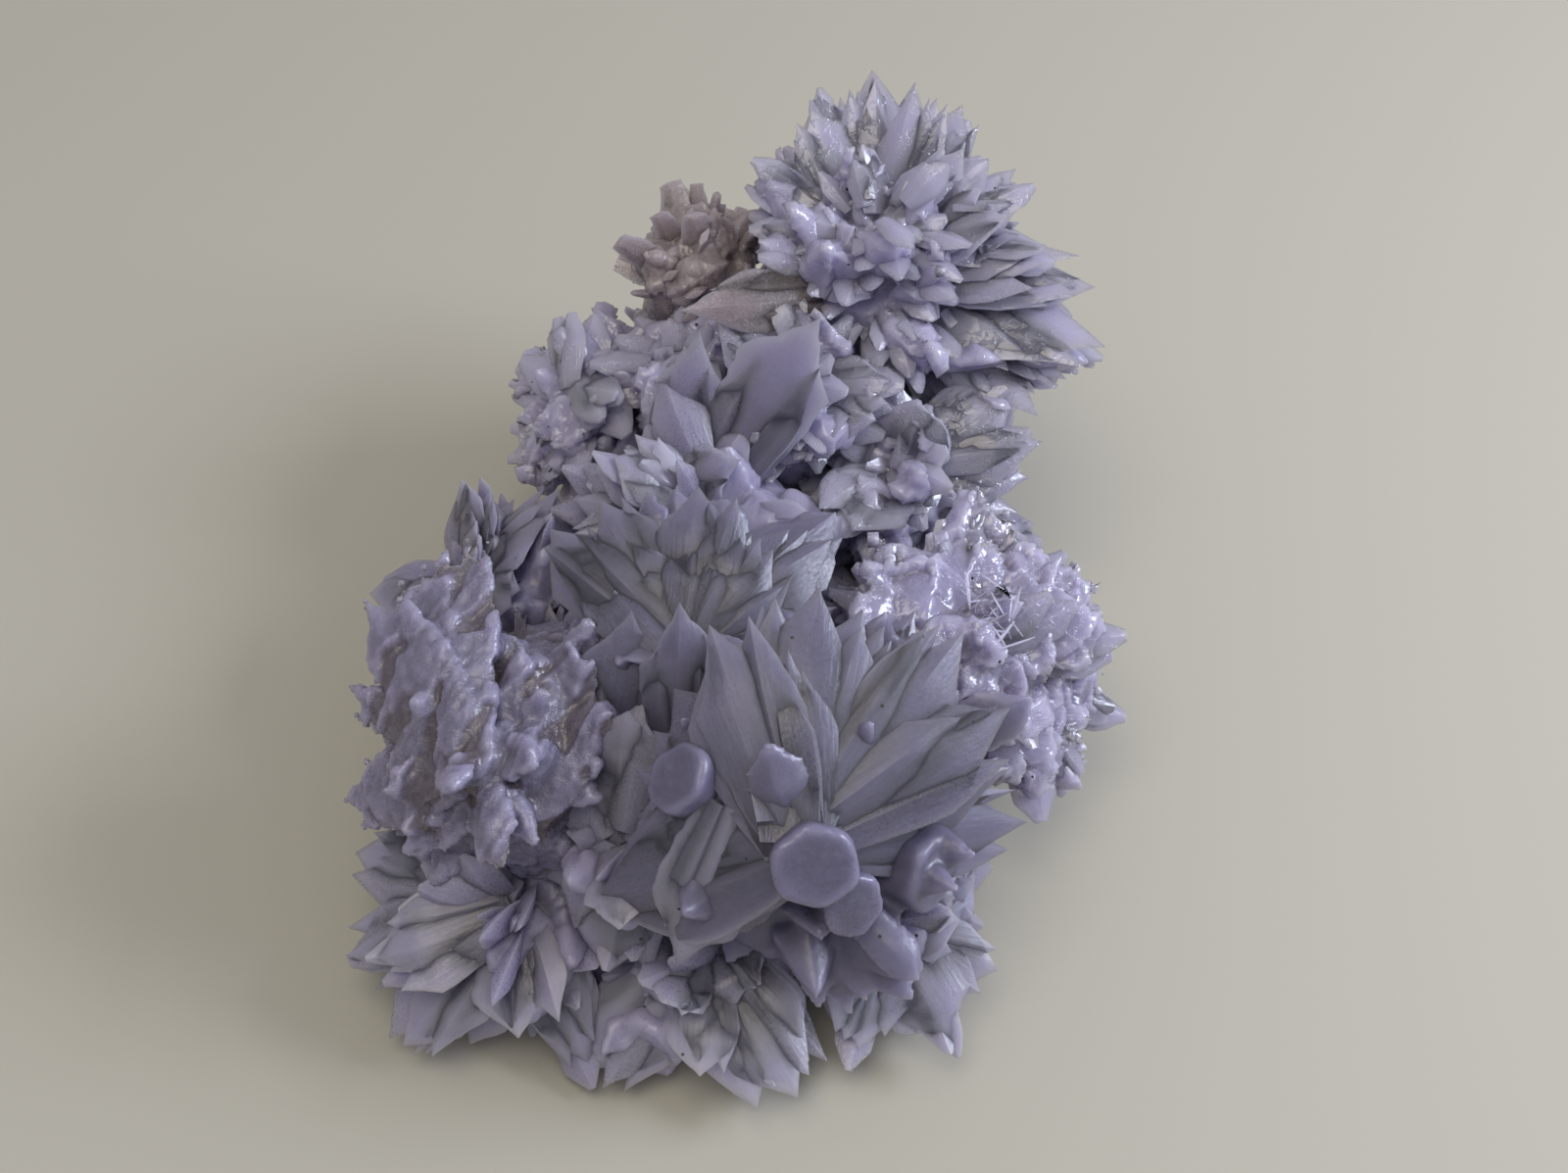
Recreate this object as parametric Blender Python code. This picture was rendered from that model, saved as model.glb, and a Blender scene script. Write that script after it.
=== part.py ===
"""Calcite on matrix: sprays of dogtooth crystals grown over a chipped block of brown limestone.

Every spray started at its own growth centre on the rock, and its crystals radiate from there. Where two
sprays grew into each other they meet on a flat compromise boundary, and there each is a separate solid.
The rock's sawn-flat underside is the z = 0 plane, +Y runs towards the narrow raised end, +Z is up.
"""

import math
import random
from dataclasses import dataclass

import bmesh
import bpy
from mathutils import Matrix, Vector

MM = 0.001

# The gap between solids that touch in the real specimen
CONTACT_GAP = 0.3 * MM
# No crystal reaches lower than this above the table
TABLE_CLEARANCE = 0.4 * MM
# Wide enough to hold the whole specimen, for the blocks that are cut down to a spray's territory
TERRITORY_SIZE = 400 * MM

# A dogtooth crystal's outline: height as a share of its length, radius as a share of its half width
BLADE_OUTLINE = ((0.0, 0.0), (0.48, 1.0), (0.78, 0.66), (1.0, 0.0))
FILL_OUTLINE = ((0.0, 0.0), (0.56, 1.0), (1.0, 0.0))
CRYSTAL_SIDES = 6
# Every other edge of the six-sided section stands back by this share
SECOND_EDGE = 0.84
# A crystal is thinner than it is wide
FLATNESS = 0.70
# A crystal's root, as a share of the way from the growth centre to its tip
ROOT_SHARE = 0.2
# Filling crystals keep this share of their spacing from the blades that are placed by hand
BLADE_CLEARANCE = 0.75
# Filling crystals point no further than this from their spray's pole, because rock lies behind
FILL_LIMIT = math.radians(100)
GOLDEN_ANGLE = math.pi * (3 - math.sqrt(5))


@dataclass
class Blade:
    """One large crystal placed by hand. Azimuth 0 points to +X and 90 to +Y, and rise is above the table."""

    azimuth: float
    rise: float
    length: float
    width: float
    turn: float = 0.0


@dataclass
class Habit:
    """How a kind of spray is filled with crystals, as shares of the spray's reach or of the spacing."""

    spacing: float
    shortest: float
    width: float
    lump: float
    finish: str


@dataclass
class Spray:
    """Crystals that radiate from one growth centre. Places and lengths are in millimetres.

    The broad faces of its crystals look towards its pole, a direction as (azimuth, rise).
    """

    name: str
    centre: tuple
    reach: float
    pole: tuple
    habit: str
    seed: int
    blades: tuple = ()


@dataclass
class Block:
    """A block of rock: its middle and size, and the chips off it as (direction, distance from its middle)."""

    centre: tuple
    size: tuple
    chips: tuple


FINISHES = {
    "limestone": ((0.20, 0.145, 0.105), 0.9),
    "frosted_calcite": ((0.46, 0.44, 0.56), 0.45),
    "etched_calcite": ((0.55, 0.53, 0.66), 0.3),
    "smoky_calcite": ((0.36, 0.29, 0.28), 0.4),
}

HABITS = {
    "spears": Habit(spacing=10.5, shortest=0.84, width=1.05, lump=0.66, finish="frosted_calcite"),
    "etched": Habit(spacing=10.5, shortest=0.92, width=1.1, lump=0.80, finish="etched_calcite"),
    "smoky": Habit(spacing=9.5, shortest=0.88, width=1.1, lump=0.74, finish="smoky_calcite"),
}

ROCK_BLOCKS = (
    Block(
        centre=(0, -13, 9),
        size=(54, 46, 18),
        chips=(
            ((-1, -1, 0.3), 28),
            ((1, -1, 0.2), 29),
            ((-1, 1, 0.5), 27),
            ((1, 0.9, 0.4), 30),
            ((0, -1, 0.9), 22),
            ((-1, 0.1, 1.1), 22),
            ((1, -0.2, 1.2), 22.5),
        ),
    ),
    Block(
        centre=(6, 24, 15),
        size=(40, 44, 30),
        chips=(
            ((0, -0.45, 1), 11),
            ((-1, 0.1, 0.9), 19),
            ((1, 0.1, 0.5), 16.5),
            ((0.1, 1, 0.5), 21),
            ((-1, 0.8, 0.1), 23),
            ((1, 1, 0.2), 24),
            ((0.8, 0.9, 1), 22),
        ),
    ),
)

SPRAYS = (
    Spray(
        "front_spray",
        centre=(7, -31, 20),
        reach=26,
        pole=(-90, 50),
        habit="spears",
        seed=11,
        blades=(
            Blade(azimuth=96, rise=42, length=28, width=11, turn=10),
            Blade(azimuth=62, rise=40, length=30, width=11, turn=-10),
            Blade(azimuth=50, rise=58, length=29, width=11, turn=10),
            Blade(azimuth=25, rise=50, length=29, width=11, turn=-10),
            Blade(azimuth=4, rise=40, length=28, width=10, turn=5),
            Blade(azimuth=82, rise=62, length=28, width=12, turn=0),
            Blade(azimuth=125, rise=60, length=28, width=12, turn=0),
            Blade(azimuth=-88, rise=50, length=27, width=12, turn=15),
            Blade(azimuth=-120, rise=28, length=26, width=11, turn=0),
        ),
    ),
    Spray(
        "middle_spray",
        centre=(-3, -14, 26),
        reach=21,
        pole=(-95, 55),
        habit="spears",
        seed=17,
        blades=(
            Blade(azimuth=98, rise=42, length=22, width=10, turn=0),
            Blade(azimuth=78, rise=44, length=21, width=10, turn=10),
            Blade(azimuth=40, rise=30, length=25, width=10, turn=10),
            Blade(azimuth=140, rise=50, length=21, width=10, turn=-10),
        ),
    ),
    Spray(
        "left_spray",
        centre=(-20, -23, 20),
        reach=22,
        pole=(-120, 50),
        habit="etched",
        seed=23,
        blades=(
            Blade(azimuth=136, rise=44, length=23, width=8, turn=0),
            Blade(azimuth=168, rise=30, length=21, width=9, turn=10),
        ),
    ),
    Spray(
        "right_spray",
        centre=(25, -9, 19),
        reach=19,
        pole=(-60, 55),
        habit="etched",
        seed=37,
        blades=(
            Blade(azimuth=-36, rise=-24, length=20, width=10, turn=0),
            Blade(azimuth=-60, rise=-14, length=19, width=10, turn=0),
            Blade(azimuth=-12, rise=-14, length=19, width=10, turn=0),
        ),
    ),
    Spray(
        "lower_left_spray",
        centre=(-20, -34, 7),
        reach=19,
        pole=(-120, 60),
        habit="spears",
        seed=41,
        blades=(
            Blade(azimuth=-164, rise=0, length=22, width=8, turn=10),
            Blade(azimuth=-150, rise=18, length=20, width=9, turn=-10),
            Blade(azimuth=-133, rise=-6, length=21, width=8, turn=10),
        ),
    ),
    Spray(
        "inner_left_spray",
        centre=(-9, -32, 16),
        reach=16,
        pole=(-110, 60),
        habit="spears",
        seed=47,
        blades=(
            Blade(azimuth=-125, rise=40, length=17, width=9, turn=10),
            Blade(azimuth=-95, rise=30, length=17, width=9, turn=0),
        ),
    ),
    Spray(
        "lower_front_spray",
        centre=(-2, -38, 6),
        reach=17,
        pole=(-90, 60),
        habit="spears",
        seed=53,
        blades=(
            Blade(azimuth=-132, rise=0, length=19, width=8, turn=10),
            Blade(azimuth=-92, rise=10, length=17, width=11, turn=0),
            Blade(azimuth=-62, rise=0, length=20, width=8, turn=-10),
        ),
    ),
    Spray(
        "lower_right_spray",
        centre=(16, -35, 6),
        reach=14,
        pole=(-80, 55),
        habit="spears",
        seed=61,
        blades=(
            Blade(azimuth=-30, rise=10, length=15, width=8, turn=0),
            Blade(azimuth=-62, rise=2, length=16, width=8, turn=10),
            Blade(azimuth=-98, rise=4, length=16, width=8, turn=-10),
            Blade(azimuth=-56, rise=48, length=14, width=10, turn=0),
        ),
    ),
    Spray(
        "saddle_spray",
        centre=(-3, 6, 23),
        reach=20,
        pole=(-90, 70),
        habit="spears",
        seed=71,
        blades=(
            Blade(azimuth=40, rise=50, length=30, width=14, turn=0),
            Blade(azimuth=110, rise=58, length=24, width=11, turn=10),
        ),
    ),
    Spray(
        "crest_spray",
        centre=(-4, 25, 28),
        reach=16,
        pole=(-110, 70),
        habit="spears",
        seed=73,
        blades=(
            Blade(azimuth=-170, rise=30, length=15, width=8, turn=0),
            Blade(azimuth=100, rise=60, length=15, width=9, turn=0),
        ),
    ),
    Spray(
        "collar_spray",
        centre=(8, 20, 30),
        reach=16,
        pole=(-100, 65),
        habit="spears",
        seed=77,
        blades=(
            Blade(azimuth=60, rise=74, length=18, width=12, turn=0),
            Blade(azimuth=160, rise=62, length=17, width=9, turn=0),
        ),
    ),
    Spray(
        "neck_spray",
        centre=(19, 14, 24),
        reach=17,
        pole=(-90, 60),
        habit="spears",
        seed=79,
        blades=(
            Blade(azimuth=-6, rise=28, length=19, width=8, turn=0),
            Blade(azimuth=14, rise=40, length=18, width=8, turn=0),
            Blade(azimuth=-70, rise=50, length=15, width=8, turn=0),
        ),
    ),
    Spray(
        "upper_left_spray",
        centre=(-15, 26, 23),
        reach=15,
        pole=(-150, 60),
        habit="etched",
        seed=83,
        blades=(Blade(azimuth=95, rise=40, length=16, width=8, turn=0),),
    ),
    Spray(
        "brown_spray",
        centre=(-4, 38, 34),
        reach=12,
        pole=(150, 60),
        habit="smoky",
        seed=97,
    ),
    Spray(
        "upper_spray",
        centre=(17, 34, 36),
        reach=23,
        pole=(-90, 75),
        habit="spears",
        seed=103,
        blades=(
            Blade(azimuth=-29, rise=1, length=31, width=10, turn=10),
            Blade(azimuth=-16, rise=16, length=27, width=9, turn=-10),
            Blade(azimuth=-20, rise=34, length=24, width=9, turn=5),
            Blade(azimuth=-4, rise=46, length=23, width=9, turn=0),
            Blade(azimuth=-42, rise=-4, length=28, width=9, turn=10),
            Blade(azimuth=-52, rise=8, length=26, width=9, turn=-10),
            Blade(azimuth=-58, rise=-20, length=27, width=9, turn=0),
            Blade(azimuth=91, rise=41, length=27, width=9, turn=0),
            Blade(azimuth=76, rise=40, length=26, width=8, turn=10),
            Blade(azimuth=58, rise=38, length=25, width=8, turn=-5),
            Blade(azimuth=112, rise=40, length=25, width=10, turn=0),
            Blade(azimuth=134, rise=34, length=23, width=8, turn=0),
            Blade(azimuth=156, rise=26, length=20, width=8, turn=0),
        ),
    ),
    Spray(
        "back_spray",
        centre=(12, 44, 13),
        reach=16,
        pole=(90, 30),
        habit="spears",
        seed=113,
    ),
    Spray(
        "right_side_spray",
        centre=(25, 12, 10),
        reach=14,
        pole=(0, 40),
        habit="spears",
        seed=127,
    ),
    Spray(
        "left_side_spray",
        centre=(-24, 1, 15),
        reach=17,
        pole=(180, 40),
        habit="spears",
        seed=131,
        blades=(
            Blade(azimuth=176, rise=8, length=19, width=9, turn=0),
            Blade(azimuth=125, rise=40, length=18, width=9, turn=0),
        ),
    ),
)


def clear_scene():
    for obj in list(bpy.data.objects):
        bpy.data.objects.remove(obj, do_unlink=True)


def new_collection(name):
    collection = bpy.data.collections.new(name)
    bpy.context.scene.collection.children.link(collection)
    return collection


def make_finish(name):
    colour, roughness = FINISHES[name]
    material = bpy.data.materials.new(name)
    material.use_nodes = True
    surface = material.node_tree.nodes["Principled BSDF"]
    surface.inputs["Base Color"].default_value = (*colour, 1.0)
    surface.inputs["Roughness"].default_value = roughness
    surface.inputs["Metallic"].default_value = 0.0
    return material


def object_from(bm, name, collection):
    mesh = bpy.data.meshes.new(name)
    bm.to_mesh(mesh)
    bm.free()
    obj = bpy.data.objects.new(name, mesh)
    collection.objects.link(obj)
    return obj


def make_cutter(bm, name, collection):
    cutter = object_from(bm, name, collection)
    cutter.hide_render = True
    cutter.display_type = "WIRE"
    return cutter


def slice_convex(bm, point, outward):
    """Cuts away what lies beyond a plane and closes the cut."""
    everything = bm.verts[:] + bm.edges[:] + bm.faces[:]
    cut = bmesh.ops.bisect_plane(
        bm, geom=everything, dist=1e-7, plane_co=point, plane_no=outward, clear_outer=True
    )
    rim = [part for part in cut["geom_cut"] if isinstance(part, bmesh.types.BMEdge)]
    if rim:
        bmesh.ops.contextual_create(bm, geom=rim)


def rock_block(block, allowance):
    """The block with every face moved out by the allowance."""
    bm = bmesh.new()
    bmesh.ops.create_cube(bm, size=1.0)
    size = Vector(block.size) * MM + Vector((2, 2, 2)) * allowance
    centre = Vector(block.centre) * MM
    bmesh.ops.scale(bm, vec=size, verts=bm.verts[:])
    bmesh.ops.translate(bm, vec=centre, verts=bm.verts[:])
    for direction, distance in block.chips:
        outward = Vector(direction).normalized()
        slice_convex(bm, centre + outward * (distance * MM + allowance), outward)
    bmesh.ops.recalc_face_normals(bm, faces=bm.faces[:])
    return bm


def boolean(obj, operand, operation):
    modifier = obj.modifiers.new(f"{operation} {operand.name}", "BOOLEAN")
    modifier.operation = operation
    modifier.solver = "EXACT"
    modifier.use_self = operation == "INTERSECT"
    modifier.object = operand


def make_matrix(collection, cutters):
    main, neck = ROCK_BLOCKS
    rock = object_from(rock_block(main, 0), "matrix", collection)
    boolean(rock, make_cutter(rock_block(neck, 0), "matrix neck", cutters), "UNION")
    rock.data.materials.append(make_finish("limestone"))
    return rock


def crystal_mesh(name, outline):
    """One crystal along +Z, one unit long and two units wide, from stacked six-sided cones."""
    bm = bmesh.new()
    for (low, low_radius), (high, high_radius) in zip(outline, outline[1:]):
        bmesh.ops.create_cone(
            bm,
            segments=CRYSTAL_SIDES,
            radius1=low_radius,
            radius2=high_radius,
            depth=high - low,
            matrix=Matrix.Translation((0, 0, (low + high) / 2)),
        )
    bmesh.ops.remove_doubles(bm, verts=bm.verts[:], dist=1e-5)
    for vert in bm.verts:
        side = round(math.atan2(vert.co.y, vert.co.x) / (2 * math.pi / CRYSTAL_SIDES))
        if side % 2:
            vert.co.xy *= SECOND_EDGE
        vert.co.y *= FLATNESS
    bmesh.ops.recalc_face_normals(bm, faces=bm.faces[:])
    mesh = bpy.data.meshes.new(name)
    bm.to_mesh(mesh)
    bm.free()
    return mesh


def pointing(azimuth, rise):
    azimuth, rise = math.radians(azimuth), math.radians(rise)
    flat = math.cos(rise)
    return Vector((flat * math.cos(azimuth), flat * math.sin(azimuth), math.sin(rise)))


def add_crystal(bm, pattern, spray, direction, length, width, turn):
    """Adds a crystal whose tip is length from the spray's centre, its broad face to the spray's pole."""
    known = len(bm.verts)
    bm.from_mesh(pattern)
    bm.verts.ensure_lookup_table()
    wide = pointing(*spray.pole).cross(direction).normalized()
    aim = Matrix((wide, direction.cross(wide), direction)).transposed().to_4x4()
    spin = Matrix.Rotation(math.radians(turn), 4, "Z")
    size = Matrix.Diagonal((width / 2, width / 2, length * (1 - ROOT_SHARE), 1))
    foot = Vector(spray.centre) * MM + direction * length * ROOT_SHARE
    bmesh.ops.transform(bm, matrix=Matrix.Translation(foot) @ aim @ spin @ size, verts=bm.verts[known:])


def boundaries(spray):
    """The plane where the spray met each other one, as a point on it and the direction out of the spray's side.

    Both grew at an even pace until they met, so the plane divides the way between their centres by their reach.
    """
    centre = Vector(spray.centre) * MM
    for other in SPRAYS:
        if other is not spray:
            apart = Vector(other.centre) * MM - centre
            yield centre + apart * spray.reach / (spray.reach + other.reach), apart.normalized()


def in_territory(spray, point):
    """Whether the point lies on the spray's own side of every boundary."""
    return all((point - meeting).dot(outward) < 0 for meeting, outward in boundaries(spray))


def inside_block(block, point):
    away = point - Vector(block.centre) * MM
    in_box = all(abs(away[axis]) < block.size[axis] / 2 * MM for axis in range(3))
    return in_box and all(away.dot(Vector(to).normalized()) < distance * MM for to, distance in block.chips)


def fill_directions(spray, chance):
    """Evenly spread directions into the spray's own open space, clear of the blades placed by hand."""
    taken = [pointing(blade.azimuth, blade.rise) for blade in spray.blades]
    pole = pointing(*spray.pole)
    spacing = HABITS[spray.habit].spacing / spray.reach
    count = round(4 * math.pi / spacing**2)
    found = []
    for index in range(count):
        height = 1 - 2 * (index + 0.5) / count
        around = index * GOLDEN_ANGLE
        flat = math.sqrt(1 - height * height)
        direction = Vector((flat * math.cos(around), flat * math.sin(around), height))
        direction += 0.3 * spacing * Vector([chance.uniform(-1, 1) for _ in range(3)])
        direction.normalize()
        shoulder = (Vector(spray.centre) + direction * 0.8 * spray.reach) * MM
        in_rock = any(inside_block(block, shoulder) for block in ROCK_BLOCKS)
        hidden = shoulder.z < 0 or direction.angle(pole) > FILL_LIMIT
        if hidden or in_rock or not in_territory(spray, shoulder):
            continue
        if all(direction.angle(other) > BLADE_CLEARANCE * spacing for other in taken):
            found.append(direction)
    return found


def spray_crystals(spray, patterns):
    """All of a spray's crystals and the lump that joins them, still overlapping."""
    chance = random.Random(spray.seed)
    habit = HABITS[spray.habit]
    bm = bmesh.new()
    bmesh.ops.create_icosphere(
        bm,
        subdivisions=1,
        radius=habit.lump * spray.reach * MM,
        matrix=Matrix.Translation(Vector(spray.centre) * MM),
    )
    for blade in spray.blades:
        direction = pointing(blade.azimuth, blade.rise)
        add_crystal(bm, patterns["blade"], spray, direction, blade.length * MM, blade.width * MM, blade.turn)
    for direction in fill_directions(spray, chance):
        length = spray.reach * MM * chance.uniform(habit.shortest, 1.0)
        width = habit.spacing * MM * habit.width * chance.uniform(0.85, 1.15)
        add_crystal(bm, patterns["fill"], spray, direction, length, width, chance.uniform(-35, 35))
    return bm


def territory_block(spray):
    """The space that is the spray's own: above the table and on its side of every boundary."""
    bm = bmesh.new()
    bmesh.ops.create_cube(bm, size=TERRITORY_SIZE)
    slice_convex(bm, Vector((0, 0, TABLE_CLEARANCE)), Vector((0, 0, -1)))
    for meeting, outward in boundaries(spray):
        slice_convex(bm, meeting - outward * CONTACT_GAP / 2, outward)
    bmesh.ops.recalc_face_normals(bm, faces=bm.faces[:])
    return bm


def shells(bm):
    """The groups of vertices that hang together."""
    left = set(bm.verts)
    while left:
        shell = [left.pop()]
        for vert in shell:
            for edge in vert.link_edges:
                neighbour = edge.other_vert(vert)
                if neighbour in left:
                    left.remove(neighbour)
                    shell.append(neighbour)
        yield shell


def keep_largest_shell(obj):
    """Settles the object's modifiers, and drops chips that a cut left loose and voids shut in between crystals."""
    graph = bpy.context.evaluated_depsgraph_get()
    bm = bmesh.new()
    bm.from_mesh(bpy.data.meshes.new_from_object(obj.evaluated_get(graph)))
    loose = sorted(shells(bm), key=len)[:-1]
    bmesh.ops.delete(bm, geom=[vert for shell in loose for vert in shell], context="VERTS")
    obj.modifiers.clear()
    bm.to_mesh(obj.data)
    bm.free()


def make_spray(spray, patterns, finishes, collection, cutters, rock_room):
    crystals = object_from(spray_crystals(spray, patterns), spray.name, collection)
    territory = make_cutter(territory_block(spray), f"{spray.name} territory", cutters)
    boolean(crystals, territory, "INTERSECT")
    for room in rock_room:
        boolean(crystals, room, "DIFFERENCE")
    keep_largest_shell(crystals)
    crystals.data.materials.append(finishes[HABITS[spray.habit].finish])
    return crystals


def main():
    clear_scene()
    specimen = new_collection("calcite on matrix")
    cutters = new_collection("cutters")
    make_matrix(specimen, cutters)
    rock_room = [
        make_cutter(rock_block(block, CONTACT_GAP), f"room for rock {number}", cutters)
        for number, block in enumerate(ROCK_BLOCKS, start=1)
    ]
    patterns = {
        "blade": crystal_mesh("blade", BLADE_OUTLINE),
        "fill": crystal_mesh("fill", FILL_OUTLINE),
    }
    finishes = {name: make_finish(name) for name in FINISHES if name != "limestone"}
    for spray in SPRAYS:
        make_spray(spray, patterns, finishes, specimen, cutters, rock_room)


if __name__ == "__main__":
    main()
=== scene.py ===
"""The looks of the calcite on matrix specimen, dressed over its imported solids.

Every spray of crystals is grown again in detail from the same growth centre as its solid: leaf-shaped
dogtooth crystals with stepped edges on the clean sprays, and slanting facets with thin rims and loose shards
on the etched ones. The scene is in metres. Lengths in the tables are in millimetres, but for the stage's.
"""

import itertools
import math
from collections import namedtuple

import bmesh
import bpy
import numpy as np
from bpy.props import FloatProperty, FloatVectorProperty, PointerProperty
from bpy.types import Operator, Panel, PropertyGroup
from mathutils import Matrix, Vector
from mathutils.kdtree import KDTree


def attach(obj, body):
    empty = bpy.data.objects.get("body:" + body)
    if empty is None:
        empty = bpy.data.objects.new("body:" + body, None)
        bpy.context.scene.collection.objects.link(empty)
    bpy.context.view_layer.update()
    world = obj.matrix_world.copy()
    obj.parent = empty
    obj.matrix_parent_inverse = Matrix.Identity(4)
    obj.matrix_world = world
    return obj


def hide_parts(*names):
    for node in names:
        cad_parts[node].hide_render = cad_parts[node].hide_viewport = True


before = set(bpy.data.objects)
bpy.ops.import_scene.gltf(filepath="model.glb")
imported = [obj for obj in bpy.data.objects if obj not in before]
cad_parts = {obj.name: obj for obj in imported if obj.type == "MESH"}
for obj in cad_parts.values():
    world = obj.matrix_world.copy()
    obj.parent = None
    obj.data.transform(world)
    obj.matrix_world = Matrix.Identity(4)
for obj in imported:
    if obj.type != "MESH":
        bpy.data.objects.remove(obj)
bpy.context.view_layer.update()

bl_info = {
    "name": "Calcite on matrix",
    "version": (1, 0, 0),
    "blender": (4, 5, 0),
    "location": "3D View > Sidebar > Calcite",
    "description": "Grows the crystals, the rock and the stage of a calcite specimen",
    "category": "Object",
}

MM = 0.001
SPECIMEN = "root"
# No crystal comes nearer to the table than this
TABLE_CLEARANCE = 0.35

# Each spray's growth centre, the direction its broad faces look to as (azimuth, rise), and its habit
SPRAYS = {
    "front_spray": ((7, -31, 20), (-90, 50), "fan"),
    "middle_spray": ((-3, -14, 26), (-95, 55), "fan"),
    "left_spray": ((-20, -23, 20), (-120, 50), "lace"),
    "right_spray": ((25, -9, 19), (-60, 55), "sugary"),
    "lower_left_spray": ((-20, -34, 7), (-120, 60), "spears"),
    "inner_left_spray": ((-9, -32, 16), (-110, 60), "spears"),
    "lower_front_spray": ((-2, -38, 6), (-90, 60), "spears"),
    "lower_right_spray": ((16, -35, 6), (-80, 55), "spears"),
    "saddle_spray": ((-3, 6, 23), (-90, 70), "spears"),
    "crest_spray": ((-4, 25, 28), (-110, 70), "sugary"),
    "collar_spray": ((8, 20, 30), (-100, 65), "glassy"),
    "neck_spray": ((19, 14, 24), (-90, 60), "glassy"),
    "upper_left_spray": ((-15, 26, 23), (-150, 60), "sugary"),
    "brown_spray": ((-4, 38, 34), (150, 60), "blocks"),
    "upper_spray": ((17, 34, 36), (-90, 75), "crown"),
    "back_spray": ((12, 44, 13), (90, 30), "spears"),
    "right_side_spray": ((25, 12, 10), (0, 40), "spears"),
    "left_side_spray": ((-24, 1, 15), (180, 40), "spears"),
}

# The large leaves of a spray from its growth centre: azimuth, rise, length to the tip, width
LARGE_LEAVES = {
    "front_spray": (
        (78, 65, 27.5, 10), (122, 72, 26.5, 9), (144, 68, 27.5, 8), (56, 62, 26, 8), (45, 49, 26.5, 9),
        (40, 41, 24, 7), (24, 45, 20.5, 11), (30, 24, 16.5, 7), (-133, 6, 17, 9.5), (162, 55, 22, 9),
        (178, 48, 21, 8), (-149, 11, 23, 12),
    ),
    "middle_spray": (
        (90, 63, 20, 9), (58, 69, 18, 8), (32, 39, 22, 9), (19, 44, 20.5, 8), (148, 64, 16, 10),
        (110, 66, 17, 6), (17, 62, 17.5, 6), (157, 39, 22, 9),
    ),
    "upper_spray": (
        (-21, 47, 23, 7), (-20, 40, 21.5, 5), (-25, 31, 24, 7), (-24, 24, 24, 5), (-26, 21, 26.5, 7),
        (-30, 10, 30, 9), (-35, 7, 27.5, 7), (-33, -1, 26, 6), (-45, -5, 26, 8), (-47, -24, 25, 6),
        (-45, -29, 27, 8), (91, 54, 25, 6.5), (71, 58, 25, 6.5), (53, 56, 24, 5), (124, 53, 23, 10),
        (22, 61, 21.5, 6), (-3, 55, 20.5, 6),
    ),
    "left_spray": (
        (115, 47, 27, 6), (124, 46, 26.5, 5), (134, 44, 25.5, 5), (142, 41, 25, 4.5), (153, 38, 26, 8),
        (173, 26, 22.5, 5),
    ),
    "right_spray": (
        (-40, -23, 18.5, 9), (-159, 51, 22, 9), (-175, 58, 22, 9), (165, 60, 21, 9), (90, 51, 22, 6),
        (78, 52, 21.5, 5), (61, 49, 19, 5), (47, 46, 17, 5), (40, 42, 18, 5), (30, 37, 18, 5),
        (22, 32, 18.5, 4), (16, 27, 20, 5),
    ),
    "lower_left_spray": (
        (-163, 3, 22, 6), (-155, 17, 17.5, 7), (-140, -10, 21.5, 9), (167, 10, 22, 8),
        (-118, -14, 16.5, 7),
    ),
    "inner_left_spray": (
        (83, 66, 20, 10), (125, 60, 20, 10), (50, 62, 18.5, 8), (100, 80, 20.5, 9), (150, 50, 17, 8),
    ),
    "lower_front_spray": (
        (-134, -8, 18.5, 8), (-126, -9, 19, 6), (-93, 0, 14.5, 9), (-81, -5, 12, 6), (-62, -9, 16.5, 9),
        (-59, -9, 18, 8),
    ),
    "lower_right_spray": (
        (-51, -9, 13.5, 7), (-96, -8, 12.5, 7), (-69, 0, 11, 7), (-107, -10, 13.5, 7), (-30, 41, 13, 7),
    ),
    "neck_spray": (
        (-6, 10, 16, 8), (-6, 25, 15, 7), (177, 66, 13, 7),
    ),
    "left_side_spray": (
        (115, 53, 16, 7), (80, 60, 14, 9),
    ),
}

# Clear-cut leaves that stand apart from the sprays: foot, tip, width and finish
STANDING_LEAVES = {
    "great_leaf": ((-2, 9, 29), (9.9, 13.1, 51.1), 11.5, "frosted calcite"),
    "second_leaf": ((-8, 11, 27), (-3.3, 15.5, 47), 7.5, "frosted calcite"),
    "short_leaf": ((-8, 7, 31), (1.3, 5.5, 37), 6.5, "frosted calcite"),
    "near_leaf": ((-4, -30, 30), (-4.5, -20, 43), 9, "clouded calcite"),
    "low_leaf": ((-11, -29, 27), (-9.5, -19, 40.5), 9.5, "clouded calcite"),
    "tooth_leaf": ((1, -39.5, 35.5), (-4.6, -49.4, 22), 9.5, "frosted calcite"),
    "bright_leaf": ((-5.5, 3, 28), (-8, 8, 38), 6, "clear calcite"),
    "brown_leaf": ((13, 27, 43), (-5.8, 20, 46), 7.5, "smoky calcite"),
}

# Stubby crystals of a spray with rounded ends, which point at whoever looks at the front: the middle and the
# radius of the end
KNOBS = {
    "front_spray": (
        ((9.0, -46.2, 35.4), 4.2),
        ((21.2, -41, 26.2), 4.4),
        ((12.9, -47, 29.4), 3.3),
        ((-4.5, -37, 37), 3.6),
    ),
    "right_spray": (((24.5, -18.0, 31.5), 4.2), ((28.7, -19.5, 29), 3.6)),
    "lower_front_spray": (((-8.4, -49.5, 5), 4.0), ((-4.2, -50, 6.5), 3.6)),
    "left_spray": (((-19.6, -36, 20.5), 4.0),),
    "saddle_spray": (((3.8, 8.2, 29), 3.0), ((1.2, 4.4, 29.5), 2.4)),
}

# The pit in the right mass that fine needles cross: its middle and radius
NEEDLE_PIT = ((28.5, -13, 33.5), 3.5)

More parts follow.
